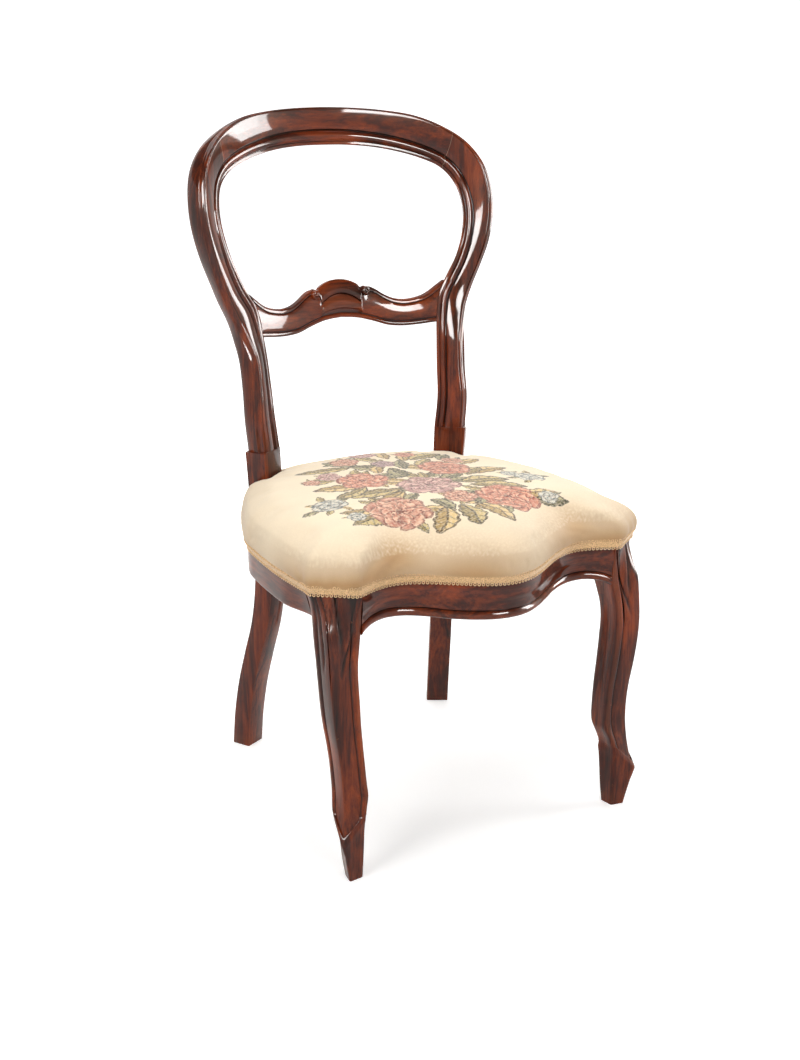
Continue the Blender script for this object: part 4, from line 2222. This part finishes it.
@dataclass
class Studio:
    """The white floor, the lamps and the camera."""

    eye: Row = (-0.896, -1.6041, 0.937)
    azimuth: float = 28.87
    pitch: float = 17.56
    lens: float = 48.578
    floor_steps: int = 96
    flat_reaches: Row = (0.05, 1.0, 2.5, 4.5)
    bend_radius: float = 1.5
    wall_height: float = 3.0
    glow_reaches: Row = (0.7, 1.7)
    glow: Row = (0.44, 1.0)

    def camera(self) -> None:
        """Sets the camera where the photograph's stood."""
        data = bpy.data.cameras.new("camera")
        data.lens, data.sensor_width, data.sensor_fit = self.lens, 36, "AUTO"
        eye = new_object("camera", data)
        turn = Matrix.Rotation(-math.radians(self.azimuth), 4, "Z")
        tip = Matrix.Rotation(math.radians(90 - self.pitch), 4, "X")
        eye.matrix_world = Matrix.Translation(self.eye) @ turn @ tip
        bpy.context.scene.camera = eye

    def floor_mesh(self) -> bpy.types.Mesh:
        """A round floor that bends up into a wall.

        Returns:
            The mesh.
        """
        reach, radius = self.flat_reaches[-1], self.bend_radius
        profile = [(flat, 0.0) for flat in self.flat_reaches]
        for bend in np.linspace(0.2, math.pi / 2, 7):
            profile.append((reach + radius * math.sin(bend), radius * (1 - math.cos(bend))))
        profile.append((reach + radius, self.wall_height))
        turns = np.linspace(0, math.tau, self.floor_steps + 1)[:-1]
        points = [(out * math.cos(t), out * math.sin(t), rise) for out, rise in profile for t in turns]
        faces = [tuple(range(self.floor_steps))]
        for row in range(len(profile) - 1):
            inner, outer = row * self.floor_steps, (row + 1) * self.floor_steps
            for k in range(self.floor_steps):
                after = (k + 1) % self.floor_steps
                faces.append((inner + k, outer + k, outer + after, inner + after))
        mesh = bpy.data.meshes.new("floor")
        mesh.from_pydata(points, [], faces)
        mesh.shade_smooth()
        return mesh

    def floor_material(self) -> Material:
        """White to the eye but for the chair's shadow, and matt to the light.

        Returns:
            The material.
        """
        shade = ShaderTree("white_floor")
        place = shade.place()
        colour = shade.ramp(shade.noise(place, 3, 3), (0.3, (0.82, 0.82, 0.82)), (0.7, (0.86, 0.86, 0.86)))
        matt = shade.add("BsdfDiffuse", {"Color": colour})
        reach = shade.add("VectorMath", {0: place}, operation="LENGTH").outputs["Value"]
        names = ("Value", "From Min", "From Max", "To Min", "To Max")
        away = dict(zip(names, (reach, *self.glow_reaches, *self.glow)))
        strength = shade.add("MapRange", away, interpolation_type="SMOOTHSTEP").outputs[0]
        glow = shade.add("Emission", {"Color": (1, 1, 1, 1), "Strength": strength})
        none = shade.add("Emission", {"Color": (0, 0, 0, 1), "Strength": 0.0})
        seen = shade.add("LightPath").outputs
        mirrored = shade.maths("MAXIMUM", seen["Is Glossy Ray"], seen["Is Transmission Ray"])
        shown = shade.maths("MAXIMUM", seen["Is Camera Ray"], mirrored)
        lit = shade.add("MixShader", {0: shown, 1: none.outputs[0], 2: glow.outputs[0]})
        return shade.output(shade.add("AddShader", {0: matt.outputs[0], 1: lit.outputs[0]}))

    def floor(self) -> None:
        """Lays the floor."""
        mesh = self.floor_mesh()
        mesh.materials.append(self.floor_material())
        new_object("floor", mesh)

    def sky(self) -> None:
        """Fills the room over the wall with even light."""
        world = bpy.data.worlds.new("studio")
        bpy.context.scene.world = world
        world.use_nodes = True
        tree = world.node_tree
        tree.nodes.clear()
        room = add_node(tree, "ShaderNodeBackground", {"Color": (1, 0.99, 0.98, 1), "Strength": 0.16})
        add_node(tree, "ShaderNodeOutputWorld", {"Surface": room.outputs[0]})

    def build(self) -> None:
        """Sets the whole scene round the chair."""
        self.camera()
        self.floor()
        self.sky()
        for lamp in LAMPS:
            lamp.hang()
        bpy.context.scene.view_settings.view_transform = "Standard"


def main() -> None:
    """Builds the chair piece by piece, and the studio round it."""
    logging.basicConfig(level=logging.INFO, format="%(message)s")
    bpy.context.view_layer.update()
    back = Back()
    upright = Mahogany("mahogany_upright", Grain.UPRIGHT).build()
    across = Mahogany("mahogany_across", Grain.ACROSS).build()
    seams = tuple(back.joint(side) for side in SIDES.values())
    crest = Mahogany("mahogany_crest", Grain.ACROSS, seams=seams).build()
    rails = Mahogany("mahogany_rails", Grain.DEPTH).build()
    worn = {"roughness": 0.33, "coat": 0.4, "coat_roughness": 0.14, "scuffs": 0.4}
    legs = Mahogany("mahogany_legs", Grain.UPRIGHT, **worn).build()
    beech = PlainFinish("beech", (0.36, 0.22, 0.10), (0.56, 0.38, 0.2), (60, 60, 9), 0.7).build()
    steel = PlainFinish("steel", (0.25, 0.24, 0.23), (0.5, 0.48, 0.45), (260, 260, 260), 0.4, 0.9).build()
    jute = WovenCloth("jute", (0.2, 0.13, 0.06), (0.55, 0.41, 0.22), 0.0024).build()
    sacking = WovenCloth("sacking", (0.16, 0.1, 0.045), (0.5, 0.37, 0.19), 0.003).build()
    needlework = Needlework("needlework").build()
    braid = Braid("braid").build()

    for side in SIDES:
        back.build_post(side, upright)
    back.build_crest(crest)
    CrossRail().build(back, across)
    FrontLeg().build(legs)
    SeatRails().build(back, across, rails)
    cushion = Cushion()
    cushion.build(needlework)
    Gimp().build(cushion, braid)
    Underside().build(cushion, jute, sacking)
    finish_node("rear_rail", across)
    for side in SIDES:
        finish_node(f"crest_dowel_{side}", beech)
        for place in ("front", "rear"):
            finish_node(f"corner_block_{place}_{side}", beech)
            for letter in "ab":
                finish_node(f"corner_screw_{place}_{letter}_{side}", steel)
    Studio().build()


if __name__ == "__main__":
    main()
